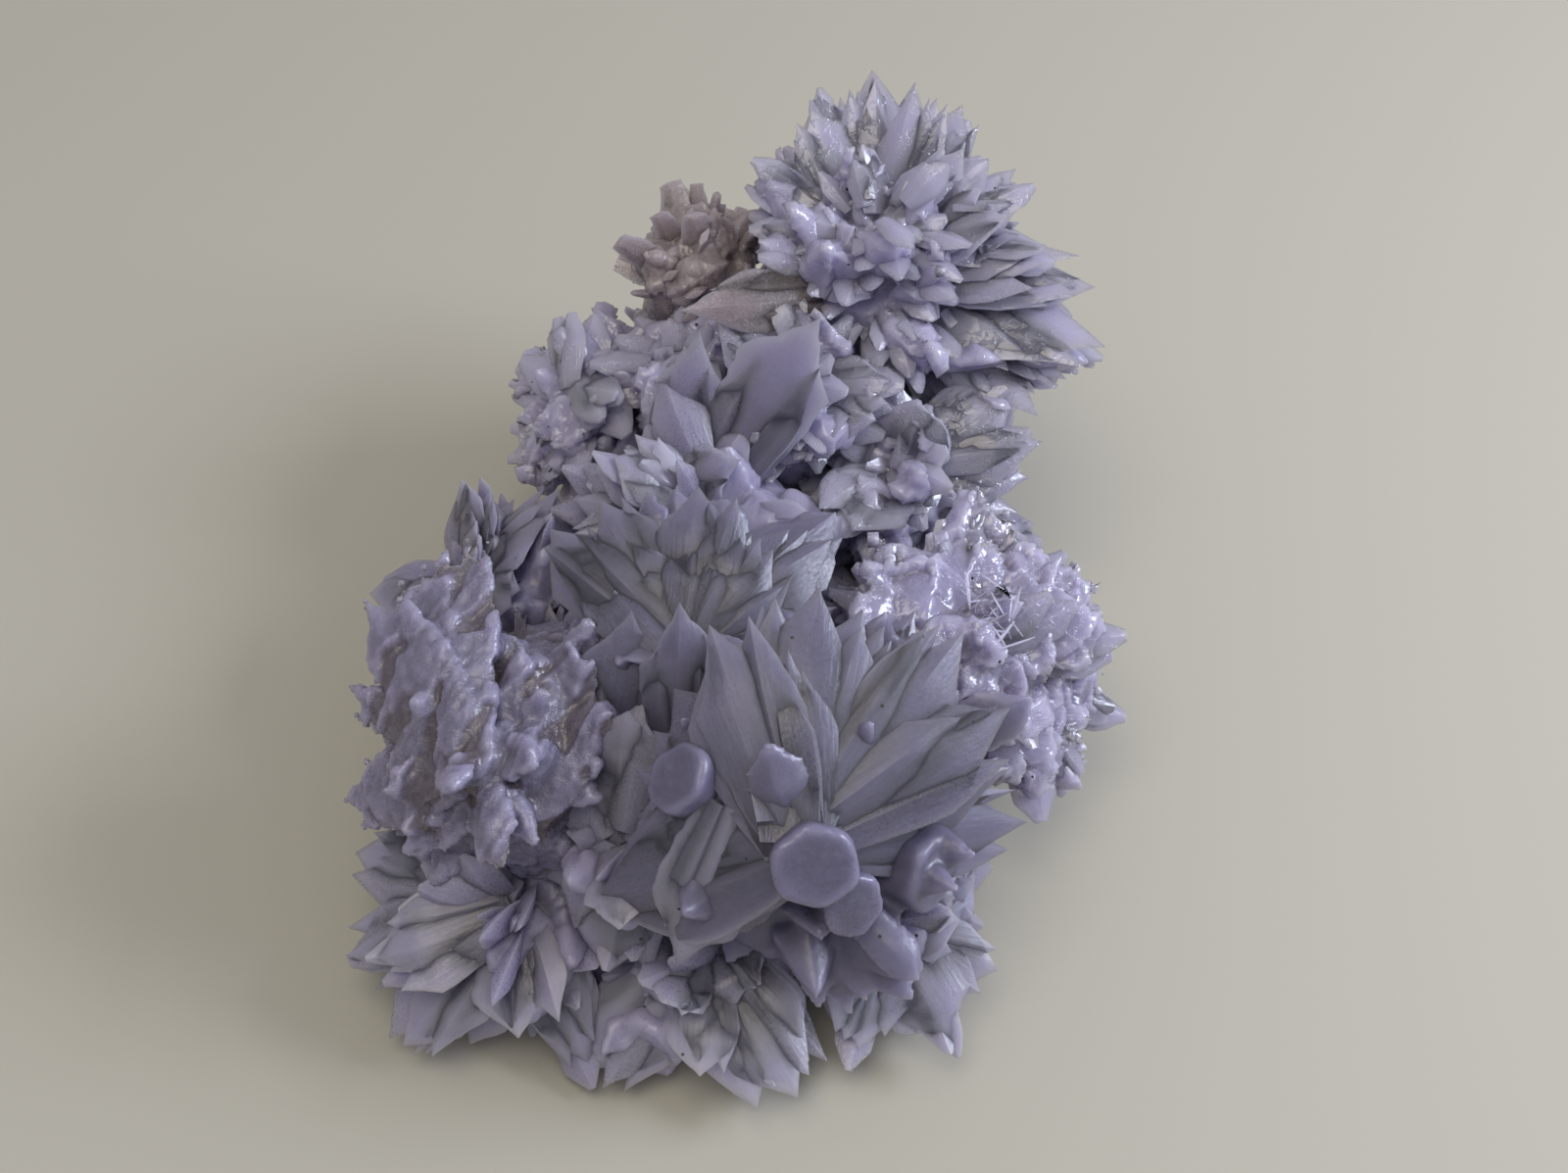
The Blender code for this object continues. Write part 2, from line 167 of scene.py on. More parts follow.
# The needles, and the small crystals on the rock between the sprays: their number, shortest and longest
# length, and least and greatest width as a share of the length
NEEDLES = (60, (2.0, 4.5), (0.06, 0.12))
DRUSE = (320, (5, 13), (0.3, 0.5))

# The middle of a needle, or of a small crystal on the rock, is no lower than this
LOWEST_LATH = 2

# How a spray of each habit is grown: how far its leaves' feet stand out towards the pole as a share of the
# solid's reach that way, square millimetres for each small leaf, its shortest and longest length, how flat
# it lies (0 points straight out, 1 lies across), its blunt end's share, and the degrees kept free about the
# pole
HABITS = {
    "fan": (0.72, 70, (8, 13), 0.9, 0.05, 50),
    "crown": (0.3, 15, (4, 8), 0.85, 0.3, 50),
    "spears": (0.6, 24, (5, 11), 0.55, 0.2, 25),
    "glassy": (0.5, 18, (5, 9), 0.8, 0.3, 20),
    "lace": (0.8, 40, (7, 12), 0.9, 0.35, 60),
    "sugary": (0.7, 26, (6, 11), 0.88, 0.35, 40),
    "blocks": (0.2, 30, (5, 8), 0.2, 0.8, 10),
}

# The finish and material slot of the small crystals that stand free on sprays of these habits
SHARDS = {
    "crown": ("shard calcite", "etched_calcite"),
    "glassy": ("shard calcite", "etched_calcite"),
    "sugary": ("shard calcite", "etched_calcite"),
    "spears": ("frosted calcite", "frosted_calcite"),
    "blocks": ("smoky calcite", "smoky_calcite"),
}

# The size of the smallest faces on the rock, and the usual one on clean, etched and brown sprays
ROCK_VOXEL = 0.9
CLEAN_VOXEL = 0.46
ETCHED_VOXEL = 0.37
BROWN_VOXEL = 0.36

# The size of the smallest faces on a spray's skin, where it is not the usual one
VOXELS = {
    "upper_spray": 0.42,
    "right_spray": 0.42,
    "left_spray": 0.4,
    "back_spray": 0.6,
    "right_side_spray": 0.6,
    "left_side_spray": 0.6,
}

# How much paler than its finish a spray is drawn: painted light, on sprays that stand in more light
PAINTED_LIGHT_SHARES = {
    "upper_spray": 0.55,
    "upper_left_spray": 0.8,
    "crest_spray": 0.6,
    "collar_spray": 0.6,
    "neck_spray": 0.5,
    "saddle_spray": 0.4,
    "brown_spray": 0.5,
    "lower_front_spray": 0.6,
    "lower_left_spray": 0.4,
    "inner_left_spray": 0.3,
    "lower_right_spray": 0.5,
}

# The azimuth about which the tips of a spray's solid get no leaves, and how far that goes to each side
BARE_SIDES = {"front_spray": (-75, 50), "upper_spray": (-150, 75)}

# Rock below this height lies flat on the table, and over the next stretch its breaks grow to full depth
ROCK_FOOT = 0.7
ROCK_FADE = 2.5

# Heights between which the fine relief of a skin turns pale on its ridges, partly real frost and partly
# painted highlight, and dark in its hollows, painted shade
FINE_RELIEF = (0.04, 0.16)

# The first random seed of the sprays, and those of the other groups of crystals
SPRAY_SEED = 900
NEEDLE_SEED = 41
STANDING_SEED = 77
DRUSE_SEED = 23

# Edges of loose crystals that turn more than this stay crisp
CRISP_EDGE = math.radians(24)

# Each finish's roughness, share of light let through, depth of grain and depth of etched rims, which also
# sets how strongly their painted highlight lines show
FINISHES = {
    "clouded calcite": (0.36, 0.3, 0.4, 0.0),
    "frosted calcite": (0.34, 0.3, 0.4, 0.0),
    "etched calcite": (0.28, 0.3, 0.7, 0.3),
    "glassy calcite": (0.08, 0.3, 0.25, 0.6),
    "shard calcite": (0.05, 0.4, 0.2, 0.4),
    "smoky calcite": (0.24, 0.3, 0.5, 0.3),
}
CALCITE_IOR = 1.6

# Colours that the pale parts of lilac and of brown crystals turn to, and those of hollows, clear calcite
# and dust. The hollow colours are painted shade; the etched one is also the real brown of etched hollows
LILAC_PALE = (0.69, 0.655, 0.86)
SMOKE_PALE = (0.62, 0.54, 0.53)
ETCHED_HOLLOW_AND_SHADE = (0.14, 0.105, 0.10)
GLASSY_HOLLOW_SHADE = (0.24, 0.2, 0.2)
CLEAR = (0.66, 0.65, 0.78)
DUST = (0.03, 0.025, 0.02)

# The lights, in metres: where each one is, what it points at, its size, power in watts and colour
LIGHTS = {
    "overhead light": ((-0.12, -0.2, 0.88), (0, 0, 0), (0.5, 0.5), 2.6, (1.0, 0.92, 0.78)),
    "window light": ((0.45, 0.0, 0.34), (0, 0, 0.02), (0.24, 0.18), 2.5, (0.76, 0.82, 1.0)),
}
ROOM_COLOUR = (0.86, 0.86, 1.0, 1)
ROOM_STRENGTH = 0.48

# The floor's half width, the camera's place and its target, in metres, and its lens in millimetres
FLOOR_REACH = 1.5
CAMERA_PLACE = (0.006, -0.1452, 0.1947)
CAMERA_TARGET = (0.006, -0.007, 0.030)
LENS = 45
SENSOR_WIDTH = 36

# Where a crystal sits: its foot, its own axes, length, width, tone, and the shift of its own pattern
Seat = namedtuple("Seat", "foot axes length width tone shift")

# A leaf crystal's section, as shares of its half width and half thickness: two ridges joined by flat faces
LEAF_SECTION = np.array(
    [(-1, 0), (-0.55, 0.6), (0.1, 1), (0.62, 0.5), (1, 0), (0.55, -0.6), (-0.1, -1), (-0.62, -0.5)]
)

# A knob's outline from its foot up, as shares of its radius: height, and distance from its axis
KNOB_PROFILE = np.array(
    [
        (-1.6, 0.8), (-0.6, 0.95), (-0.1, 1), (0.03, 0.96),
        (0.07, 0.86), (0.05, 0.7), (0.07, 0.35), (0.07, 0.05),
    ]
)
KNOB_SIDES = 24


def direction_of(azimuth, rise):
    """The direction with an azimuth, 0 to +X and 90 to +Y, and a rise above the table, in degrees."""
    azimuth, rise = math.radians(azimuth), math.radians(rise)
    flat = math.cos(rise)
    return np.array([flat * math.cos(azimuth), flat * math.sin(azimuth), math.sin(rise)])


def unit(vector):
    return vector / np.linalg.norm(vector)


def tilted(direction, degrees, chance):
    """The direction turned a random way by about this many degrees."""
    return unit(direction + chance.normal(0, math.tan(math.radians(degrees)) / 1.4, 3))


class Growth:
    """Gathers crystals before they become one mesh, and keeps where each one sits."""

    def __init__(self):
        self.points = []
        self.faces = []
        self.owners = []
        self.seats = []
        self.count = 0

    def add(self, points, faces, seat):
        self.points.append(points)
        self.faces.append(np.asarray(faces) + self.count)
        self.owners.append(np.full(len(points), len(self.seats)))
        self.seats.append(seat)
        self.count += len(points)

    def take(self, other):
        """Adds all the crystals of another growth."""
        for points, faces, seat in zip(other.points, other.faces, other.seats):
            self.add(points, faces - faces.min(), seat)

    def mesh(self, name):
        mesh = bpy.data.meshes.new(name)
        points = np.concatenate(self.points)
        points[:, 2] = np.maximum(points[:, 2], TABLE_CLEARANCE)
        mesh.from_pydata(points * MM, [], [face for block in self.faces for face in block.tolist()])
        return mesh

    def seen_from(self, owners, points):
        """Each point in its own crystal's frame, how far along and across it, and the crystal's tone."""
        feet, axes, lengths, widths, tones, shifts = (
            np.array([getattr(seat, part) for seat in self.seats])[owners] for part in Seat._fields
        )
        local = np.einsum("ijk,ik->ij", axes, points - feet)
        along, across = np.clip(local[:, 1] / lengths, 0, 1), np.clip(2 * np.abs(local[:, 0]) / widths, 0, 1)
        return local + shifts, along, across, tones

    def loose_piece(self, name, finish, paler=0.0):
        """The crystals as they are, each a closed shape of its own."""
        mesh = self.mesh(name)
        points = vertex_values(mesh, "co") / MM
        grain, along, across, tone = self.seen_from(np.concatenate(self.owners), points)
        # Tips and edges turn pale, painted highlight, and the spray's share of painted light is added
        pale = np.clip(0.3 * along**3 + 0.35 * across**4 + paler, 0, 1)
        store(mesh, "grain", grain)
        # The third value darkens each crystal towards its foot: painted shade
        store(mesh, "growth", np.stack([pale, tone, np.clip(0.5 - along, 0, 1)], axis=1))
        mesh.materials.append(finish)
        mesh.shade_smooth()
        mesh.set_sharp_from_angle(angle=CRISP_EDGE)
        return place(name, mesh)

    def owners_near(self, points):
        """Which crystal is nearest to each point."""
        corners = np.concatenate(self.points)
        owners = np.concatenate(self.owners)
        tree = KDTree(len(corners))
        for index, corner in enumerate(corners.tolist()):
            tree.insert(corner, index)
        tree.balance()
        return owners[[tree.find(point)[1] for point in points.tolist()]]


class Skin:
    """Crystals grown together into one even skin of small faces."""

    def __init__(self, growth, name, voxel, smoothing):
        skin = place(name, growth.mesh(name))
        remesh = skin.modifiers.new("skin", "REMESH")
        remesh.mode = "VOXEL"
        remesh.voxel_size = voxel * MM
        smooth = skin.modifiers.new("worn", "SMOOTH")
        smooth.factor = 0.5
        smooth.iterations = smoothing
        graph = bpy.context.evaluated_depsgraph_get()
        settled = bpy.data.meshes.new_from_object(skin.evaluated_get(graph))
        skin.modifiers.clear()
        skin.data = settled
        self.piece = skin
        self.points = vertex_values(settled, "co") / MM
        self.outward = vertex_values(settled, "normal")
        _, self.along, _, self.tone = growth.seen_from(growth.owners_near(self.points), self.points)
        self.along, self.tone = self.evened(np.stack([self.along, self.tone], axis=1), 8).T
        away = self.points - growth.seats[0].foot
        reach = np.linalg.norm(away, axis=1)
        sideways = away / reach[:, None] * 5
        self.grain = np.stack([sideways[:, 0], reach, sideways[:, 1] + sideways[:, 2]], axis=1)
        # Darkening: painted shade, and on etched skins also the real brown of etched hollows
        self.hollow = np.zeros(len(self.points))
        # Paleness: real frost, painted highlight on rims and painted light on sprays that stand in more
        # light
        self.frost_and_light = np.zeros(len(self.points))

    def lift(self, height):
        """Moves the skin out by a height in millimetres at each point."""
        self.points = self.points + self.outward * height[:, None]

    def evened(self, values, passes):
        """Values at the points, each averaged with those around it. Values is (point, axis)."""
        edges = np.zeros(len(self.piece.data.edges) * 2, np.int32)
        self.piece.data.edges.foreach_get("vertices", edges)
        start, end = edges.reshape(-1, 2).T
        joined = np.bincount(edges, minlength=len(values))
        for _ in range(passes):
            total = [
                np.bincount(start, axis[end], len(values)) + np.bincount(end, axis[start], len(values))
                for axis in values.T
            ]
            values = np.stack(total, axis=1) / joined[:, None]
        return values

    def relief(self, passes):
        """How far each point stands out of the surface around it, in millimetres."""
        return ((self.points - self.evened(self.points, passes)) * self.outward).sum(axis=1)

    def finish(self, look, lowest=TABLE_CLEARANCE):
        """Sets the final shape, marks ridges for paleness, partly real frost and partly painted highlight,
        and hollows for painted shade, and gives it the look.
        """
        mesh = self.piece.data
        self.points[:, 2] = np.maximum(self.points[:, 2], lowest)
        fine, broad = (self.evened(self.relief(passes)[:, None], 2)[:, 0] for passes in (4, 12))
        # Ridges and tips turn pale: partly real frost, partly painted highlight
        pale = 0.4 * between(fine, *FINE_RELIEF) + 0.4 * between(broad, 0.05, 0.5) + 0.2 * self.along**2
        pale = np.clip(pale + self.frost_and_light, 0, 1)
        # Low parts of the relief turn dark: painted shade
        hollow = 0.4 * between(-fine, *FINE_RELIEF) + 0.6 * between(-broad, 0.1, 0.6) + self.hollow
        mesh.vertices.foreach_set("co", (self.points * MM).reshape(-1))
        mesh.shade_smooth()
        store(mesh, "grain", self.grain)
        store(mesh, "growth", np.stack([pale, self.tone, np.clip(hollow, 0, 1)], axis=1))
        mesh.materials.clear()
        mesh.materials.append(look)
        mesh.update()
        return self.piece


def store(mesh, name, values):
    layer = mesh.attributes.new(name, "FLOAT_VECTOR", "POINT")
    layer.data.foreach_set("vector", np.asarray(values, np.float32).reshape(-1))


def place(name, data):
    obj = bpy.data.objects.new(name, data)
    bpy.context.scene.collection.objects.link(obj)
    return obj


def vertex_values(mesh, name):
    flat = np.zeros(len(mesh.vertices) * 3)
    mesh.vertices.foreach_get(name, flat)
    return flat.reshape(-1, 3)


def merged_copy(node):
    """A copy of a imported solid's mesh with the vertices of neighbouring faces joined."""
    bm = bmesh.new()
    bm.from_mesh(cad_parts[node].data)
    bmesh.ops.remove_doubles(bm, verts=bm.verts[:], dist=0.01 * MM)
    bmesh.ops.triangulate(bm, faces=bm.faces[:])
    bmesh.ops.recalc_face_normals(bm, faces=bm.faces[:])
    return bm


def random_cells(cells, seed):
    """A fixed random value from 0 to 1 for each whole-numbered cell."""
    keys = cells.astype(np.int64)
    mixed = keys[:, 0] * 374761393 + keys[:, 1] * 668265263 + keys[:, 2] * 2147483647 + seed * 1274126177
    mixed = (mixed ^ (mixed >> 13)) * 1274126177
    mixed = mixed ^ (mixed >> 16)
    return (mixed & 0xFFFFFF) / 0xFFFFFF


def soft_noise(points, seed):
    """Smooth random values from 0 to 1 that change over about one unit."""
    cells = np.floor(points)
    part = points - cells
    part = part * part * (3 - 2 * part)
    total = np.zeros(len(points))
    for corner in itertools.product((0, 1), repeat=3):
        corner = np.array(corner)
        weight = np.prod(np.where(corner == 1, part, 1 - part), axis=1)
        total += weight * random_cells(cells + corner, seed)
    return total


def ridges(points, seed):
    """Values from 0 to 1 that peak along thin winding lines."""
    return 1 - np.abs(2 * soft_noise(points, seed) - 1)


def plates(points, seed):
    """Breaks space into cells. For each point: its cell as a random value, its height on that cell's own
    slope, and how near it is to the edge of the cell."""
    cells = np.floor(points)
    nearest = np.full(len(points), 9.0)
    second = np.full(len(points), 9.0)
    value = np.zeros(len(points))
    slope = np.zeros(len(points))
    for step in itertools.product((-1, 0, 1), repeat=3):
        cell = cells + np.array(step)
        seat = np.stack([random_cells(cell, seed + axis) for axis in range(3)], axis=1)
        lean = np.stack([random_cells(cell, seed + 20 + axis) for axis in range(3)], axis=1) * 2 - 1
        offset = points - cell - seat
        away = np.linalg.norm(offset, axis=1)
        closer = away < nearest
        second = np.where(closer, nearest, np.minimum(second, away))
        value = np.where(closer, random_cells(cell, seed + 7), value)
        slope = np.where(closer, (offset * lean).sum(axis=1), slope)
        nearest = np.where(closer, away, nearest)
    return value, slope, np.clip(second - nearest, 0, 1)


def between(value, low, high):
    """0 below low, 1 above high, and even in between."""
    return np.clip((value - low) / (high - low), 0, 1)


def tips_of(bm, centre):
    """Where a spray's crystals end: points further from the growth centre than all that join them."""
    middle = Vector(centre) * MM
    found = []
    for vert in bm.verts:
        away = vert.co - middle
        reach = away.length
        slopes = [
            (vert.co - edge.other_vert(vert).co).normalized().dot(away) / reach
            for edge in vert.link_edges
            if edge.calc_length() > 0.3 * MM
        ]
        if len(slopes) > 2 and min(slopes) > 0.5:
            found.append(np.array(vert.co) / MM)
    return found


def scattered(corners, count, chance):
    """Points spread evenly over triangles, and the outward direction at each.

    Corners is (triangle, corner, axis).
    """
    sides = np.cross(corners[:, 1] - corners[:, 0], corners[:, 2] - corners[:, 0])
    areas = np.linalg.norm(sides, axis=1)
    chosen = chance.choice(len(corners), size=count, p=areas / areas.sum())
    first, second = np.sqrt(chance.random((count, 1))), chance.random((count, 1))
    a, b, c = (corners[chosen, corner] for corner in range(3))
    spots = a * (1 - first) + b * first * (1 - second) + c * first * second
    return spots, sides[chosen] / areas[chosen, None]


def outline(along, chance, steps, blunt):
    """A leaf's half width along it: full up to its shoulder, then bowed in to the tip, with small steps."""
    shoulder = chance.uniform(0.56, 0.72)
    bow = chance.uniform(1.05, 1.4)
    past = np.clip((along - shoulder) / (1 - shoulder), 0, 1)
    full = 0.62 + 0.38 * np.sin(1.57 * along / shoulder)
    width = np.where(along < shoulder, full, 1 - (1 - blunt) * past**bow)
    for _ in range(steps):
        width = width * np.where(along > chance.uniform(shoulder, 0.98), chance.uniform(0.86, 0.98), 1)
    return np.maximum(width, 0.015)


def ring_faces(rings, sides):
    """The faces between rings of points, from the foot up, and one face over each end."""
    corner = np.arange(sides)
    low = np.arange(rings - 1)[:, None] * sides
    after = (corner + 1) % sides
    around = np.stack([low + corner, low + sides + corner, low + sides + after, low + after], axis=2)
    around = around.reshape(-1, 4)
    split = [(0, step, step + 1, step + 2) for step in range(1, sides - 1, 2)]
    last = (rings - 1) * sides
    return np.concatenate([around, split, [[last + index for index in reversed(face)] for face in split]])


def leaf(growth, foot, tip, facing, width, thickness, chance, rings=12, steps=3, blunt=0.0):
    """One dogtooth crystal from foot to tip, its broad face turned to facing."""
    span = tip - foot
    length = np.linalg.norm(span)
    aim = span / length
    wide = unit(np.cross(facing, aim))
    axes = np.array([wide, aim, np.cross(aim, wide)])
    along = 1 - (1 - np.linspace(0, 1, rings)) ** 1.25
    left, right, thick = (outline(along, chance, steps, blunt) for _ in range(3))
    across, through = LEAF_SECTION.T
    side = np.where(across < 0, left[:, None], right[:, None]) * across * width / 2
    side = side * (1 + chance.normal(0, 0.025, side.shape))
    bend = chance.uniform(-0.05, 0.05) * length
    side = side + bend * along[:, None] ** 2 - bend * along[:, None]
    depth = thick[:, None] * through * thickness / 2
    reach = np.broadcast_to(along[:, None] * length, side.shape)
    local = np.stack([side, reach, depth], axis=2).reshape(-1, 3)
    seat = Seat(foot, axes, length, width, chance.random(), chance.uniform(-90, 90, 3))
    growth.add(foot + local @ axes, ring_faces(rings, 8), seat)


def knob(growth, middle, radius, outward, chance):
    """A stubby crystal with a rounded end, about round with a hint of six sides."""
    around = np.linspace(0, 2 * math.pi, KNOB_SIDES, endpoint=False)
    wave = 1 + 0.04 * np.cos(6 * around + chance.uniform(0, 6))
    wave = wave + 0.05 * np.cos(2 * around + chance.uniform(0, 6))
    wide = unit(np.cross(outward, (0.3, 0.2, 1)))
    axes = np.array([wide, outward, np.cross(outward, wide)])
    rise, reach = KNOB_PROFILE.T
    side = reach[:, None] * np.cos(around) * wave
    depth = reach[:, None] * np.sin(around) * wave
    height = np.broadcast_to(rise[:, None], side.shape)
    local = np.stack([side, height, depth], axis=2).reshape(-1, 3) * radius
    seat = Seat(middle, axes, radius * 4, radius * 2, chance.random(), chance.uniform(-90, 90, 3))
    growth.add(middle + local @ axes, ring_faces(len(KNOB_PROFILE), KNOB_SIDES), seat)


def core(growth, bm, centre, scale, pole=None, flat=0.0):
    """The spray's solid drawn in to its growth centre, and flatter on its pole's side, behind the leaves."""
    bm.verts.index_update()
    points = np.array([vert.co for vert in bm.verts]) / MM
    faces = [[vert.index for vert in face.verts] for face in bm.faces]
    no_tip = 1000.0
    seat = Seat(centre, np.eye(3), no_tip, no_tip, 0.4, (50.0, 50.0, 50.0))
    away = (points - centre) * scale
    if pole is not None:
        height = np.maximum(away @ pole, 0)
        near = height / np.maximum(np.linalg.norm(away, axis=1), 0.01)
        away = away - pole * (flat * height * near**4)[:, None]
    growth.add(centre + away, faces, seat)


def corners_of(bm):
    return np.array([[vert.co for vert in face.verts] for face in bm.faces]) / MM


def spread_leaf(growth, centre, apex, tip, width, flatness, chance):
    """A leaf that runs from the apex of its spray out to a tip, with thinner ones grown along it."""
    span = tip - apex
    length = np.linalg.norm(span)
    out = (tip + apex) / 2 - centre
    out = unit(out - span * out.dot(span) / length**2)
    across = unit(np.cross(out, span))
    foot = apex + span * chance.uniform(0, 0.2) - out * chance.uniform(0.2, 1.6)
    facing = tilted(out, 5, chance)
    leaf(growth, foot, tip, facing, width * 1.12, width * flatness, chance, rings=14, steps=3)
    for share in (0.98, 0.93, 0.86, 0.74):
        shift = across * width * chance.uniform(-0.55, 0.55)
        end = apex + span * (share - chance.uniform(0, 0.06)) + out * chance.uniform(-0.5, 0.35) + shift
        slim = width * chance.uniform(0.55, 0.9)
        start = apex + span * chance.uniform(0, 0.12) + shift * 0.3 - out * chance.uniform(0.2, 1.2)
        leaf(growth, start, end, tilted(out, 8, chance), slim, slim * flatness, chance, rings=10, steps=2)


def between_leaves(growth, centre, apex, pole, tips, width, flatness, chance):
    """Leaves that fill the room between tips that stand next to each other about the pole."""
    side = unit(np.cross(pole, (0, 0, 1)))
    up = np.cross(side, pole)
    tips = sorted(tips, key=lambda tip: math.atan2((tip - apex) @ up, (tip - apex) @ side))
    for first, second in zip(tips, tips[1:]):
        gap = np.linalg.norm(first - second)
        if gap < 0.5 * width or gap > 4 * width:
            continue
        for share in (0.2, 0.5, 0.8):
            tip = first + (second - first) * share
            tip = apex + (tip - apex) * chance.uniform(0.84, 0.94)
            out = unit((tip + apex) / 2 - centre)
            slim = width * chance.uniform(0.9, 1.3)
            facing = tilted(out, 4, chance)
            leaf(growth, apex - out * 0.8, tip - out * 0.6, facing, slim, slim * flatness, chance)


def knobs_of(growth, node, centre, chance):
    """The stubby crystals of a spray that have rounded ends."""
    for middle, radius in KNOBS.get(node, ()):
        middle = np.array(middle, float)
        knob(growth, middle, radius, tilted(unit(middle - centre), 5, chance), chance)


def tip_leaves(growth, node, bm, centre, pole, apex, settings, clear, chance):
    """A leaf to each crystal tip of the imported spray, but for those near its pole or in its bare part."""
    bare, breadth = BARE_SIDES.get(node, (0, 0))
    for tip in tips_of(bm, centre):
        away = unit(tip - centre)
        turn = (math.degrees(math.atan2(away[1], away[0])) - bare + 180) % 360 - 180
        if away.dot(pole) > math.cos(math.radians(clear)) or abs(turn) < breadth:
            continue
        width = settings.width / MM * chance.uniform(0.8, 1.1)
        spread_leaf(growth, centre, apex, tip, width, settings.flatness, chance)


def away_from(aim, facing):
    """The facing, or one across the aim where the two are nearly the same."""
    if abs(unit(aim).dot(facing)) > 0.93:
        return unit(np.cross(facing, (0.3, 0.1, 1)))
    return facing


def scale_leaves(growth, bm, centre, pole, spacing, lengths, lie, chance, blunt, knobs):
    """Leaves that lie over a spray's surface like feathers, all pointing away from its growth centre."""
    corners = corners_of(bm)
    sides = np.cross(corners[:, 1] - corners[:, 0], corners[:, 2] - corners[:, 0])
    area = np.linalg.norm(sides, axis=1).sum() / 2
    spots, _ = scattered(corners, int(area / spacing), chance)
    for spot in spots:
        if any(np.linalg.norm(spot - middle) < 2 * radius for middle, radius in knobs):
            continue
        radial = unit(spot - centre)
        aim = tilted(unit(radial - lie * pole * radial.dot(pole)), 9, chance)
        length = chance.uniform(*lengths)
        width = length * chance.uniform(0.42, 0.62)
        facing = away_from(aim, tilted(unit(pole + radial), 12, chance))
        foot = spot - aim * length * 0.62 - facing * 0.1 * length
        tip = foot + aim * length
        leaf(growth, foot, tip, facing, width, width * 0.4, chance, rings=7, steps=2, blunt=blunt)


def etch(skin, flow, depth):
    """Eats long hollows into a skin along the flow, and leaves fibres and crumbs standing."""
    points = skin.points
    run = (points @ flow)[:, None] * flow
    slack = points - run
    wander = soft_noise(points / 3.0, 80)[:, None] * 1.2
    hollow = between(soft_noise(slack / 1.9 + run / 5 + wander, 71), 0.55, 0.66)
    fibres = ridges(slack / 0.9 + run / 5 + wander, 72) ** 2
    crumbs = soft_noise(points / 0.8, 73)
    skin.lift(depth * (0.35 * fibres + 0.35 * crumbs - 0.8 * hollow))
    skin.hollow = hollow
    skin.frost_and_light = 0.2 * crumbs + 0.35 * fibres * (1 - hollow)


def lace(skin, flow, seed, share):
    """Breaks a skin into smooth slanting facets with thin winding rims, where share is above 0, with painted
    highlight on the rims and painted shade on the low shards.
    """
    points = skin.points
    run = (points @ flow)[:, None] * flow
    slack = points - run
    wander = np.stack([soft_noise(points / 1.1, seed + axis) for axis in range(3)], axis=1)
    height, slope, rim = plates(slack / 4.6 + run / 7.5 + wander * 0.16, seed + 10)
    small, small_slope, small_rim = plates(slack / 1.7 + run / 3.4 + wander * 0.25, seed + 50)
    broken = between(soft_noise(points / 5.5, seed + 90), 0.4, 0.6)
    rims = np.clip(1 - rim / 0.08, 0, 1)
    small_rims = np.clip(1 - small_rim / 0.2, 0, 1) * broken
    facets = 0.5 * (height - 0.5) + 1.8 * slope + 0.15 * rims
    shards = 0.3 * (small - 0.6) + 0.8 * small_slope + 0.1 * small_rims
    skin.lift(share * (facets + broken * shards))
    # Pale rims: painted highlight
    skin.frost_and_light = share * np.clip(0.7 * rims + 0.6 * small_rims, 0, 1)
    # Dark low shards in broken patches: painted shade
    skin.hollow = share * 0.7 * np.clip(broken * (0.45 - small) / 0.45, 0, 1)
    skin.tone = height


def soften(skin):
    """The slight waves and lines of a clean crystal face."""
    lines = soft_noise(skin.grain * (1.1, 0.14, 1.1), 61) - 0.5
    waves = soft_noise(skin.points / 2.6, 62) - 0.5
    crumbs = soft_noise(skin.points / 0.9, 64) - 0.5
    skin.lift(0.24 * lines + 0.2 * waves + 0.03 * crumbs)
    skin.frost_and_light = skin.frost_and_light + 0.25 * between(soft_noise(skin.points / 3.5, 63), 0.5, 0.8)


def laths(growth, spots, ways, lengths, slimness, chance):
    """Thin laths or needles that stand on the spots, each pointing its own way."""
    for spot, aim in zip(spots, ways):
        if spot[2] < LOWEST_LATH:
            continue
        length = chance.uniform(*lengths)
        width = length * chance.uniform(*slimness)
        start = spot - aim * length * 0.5
        facing = unit(np.cross(aim, chance.normal(0, 1, 3)))
        end = start + aim * length
        leaf(growth, start, end, facing, width, width * 0.35, chance, rings=5, steps=0, blunt=0.35)


class CrystalSettings(PropertyGroup):
    """Sizes of the leaf crystals."""

    width: FloatProperty(
        name="Leaf width",
        description="Width of a main leaf crystal across its broad face",
        default=8.0 * MM,
        min=1 * MM,
        max=20 * MM,
        unit="LENGTH",
        subtype="DISTANCE",
    )
    flatness: FloatProperty(
        name="Flatness",
        description="Thickness of a leaf crystal as a share of its width",
        default=0.28,
        min=0.1,
        max=1.0,
        subtype="FACTOR",
    )
    spacing: FloatProperty(
        name="Spacing",
        description="Room for each small leaf, as a multiple of what its spray's habit gives",
        default=1.0,
        min=0.5,
        max=20.0,
    )


class FinishSettings(PropertyGroup):
    """Colours of the minerals."""

    calcite: FloatVectorProperty(
        name="Calcite",
        description="Colour of the frosted crystals, which the other lilac finishes are taken from",
        default=(0.285, 0.262, 0.395),
        size=3,
        min=0,
        max=1,
        subtype="COLOR",
    )
    smoke: FloatVectorProperty(
        name="Smoke",
        description="Colour of the brown crystals",
        default=(0.31, 0.25, 0.255),
        size=3,
        min=0,
        max=1,
        subtype="COLOR",
    )
    limestone: FloatVectorProperty(
        name="Limestone",
        description="Colour of the rock under the crystals",
        default=(0.20, 0.145, 0.105),
        size=3,
        min=0,
        max=1,
        subtype="COLOR",
    )


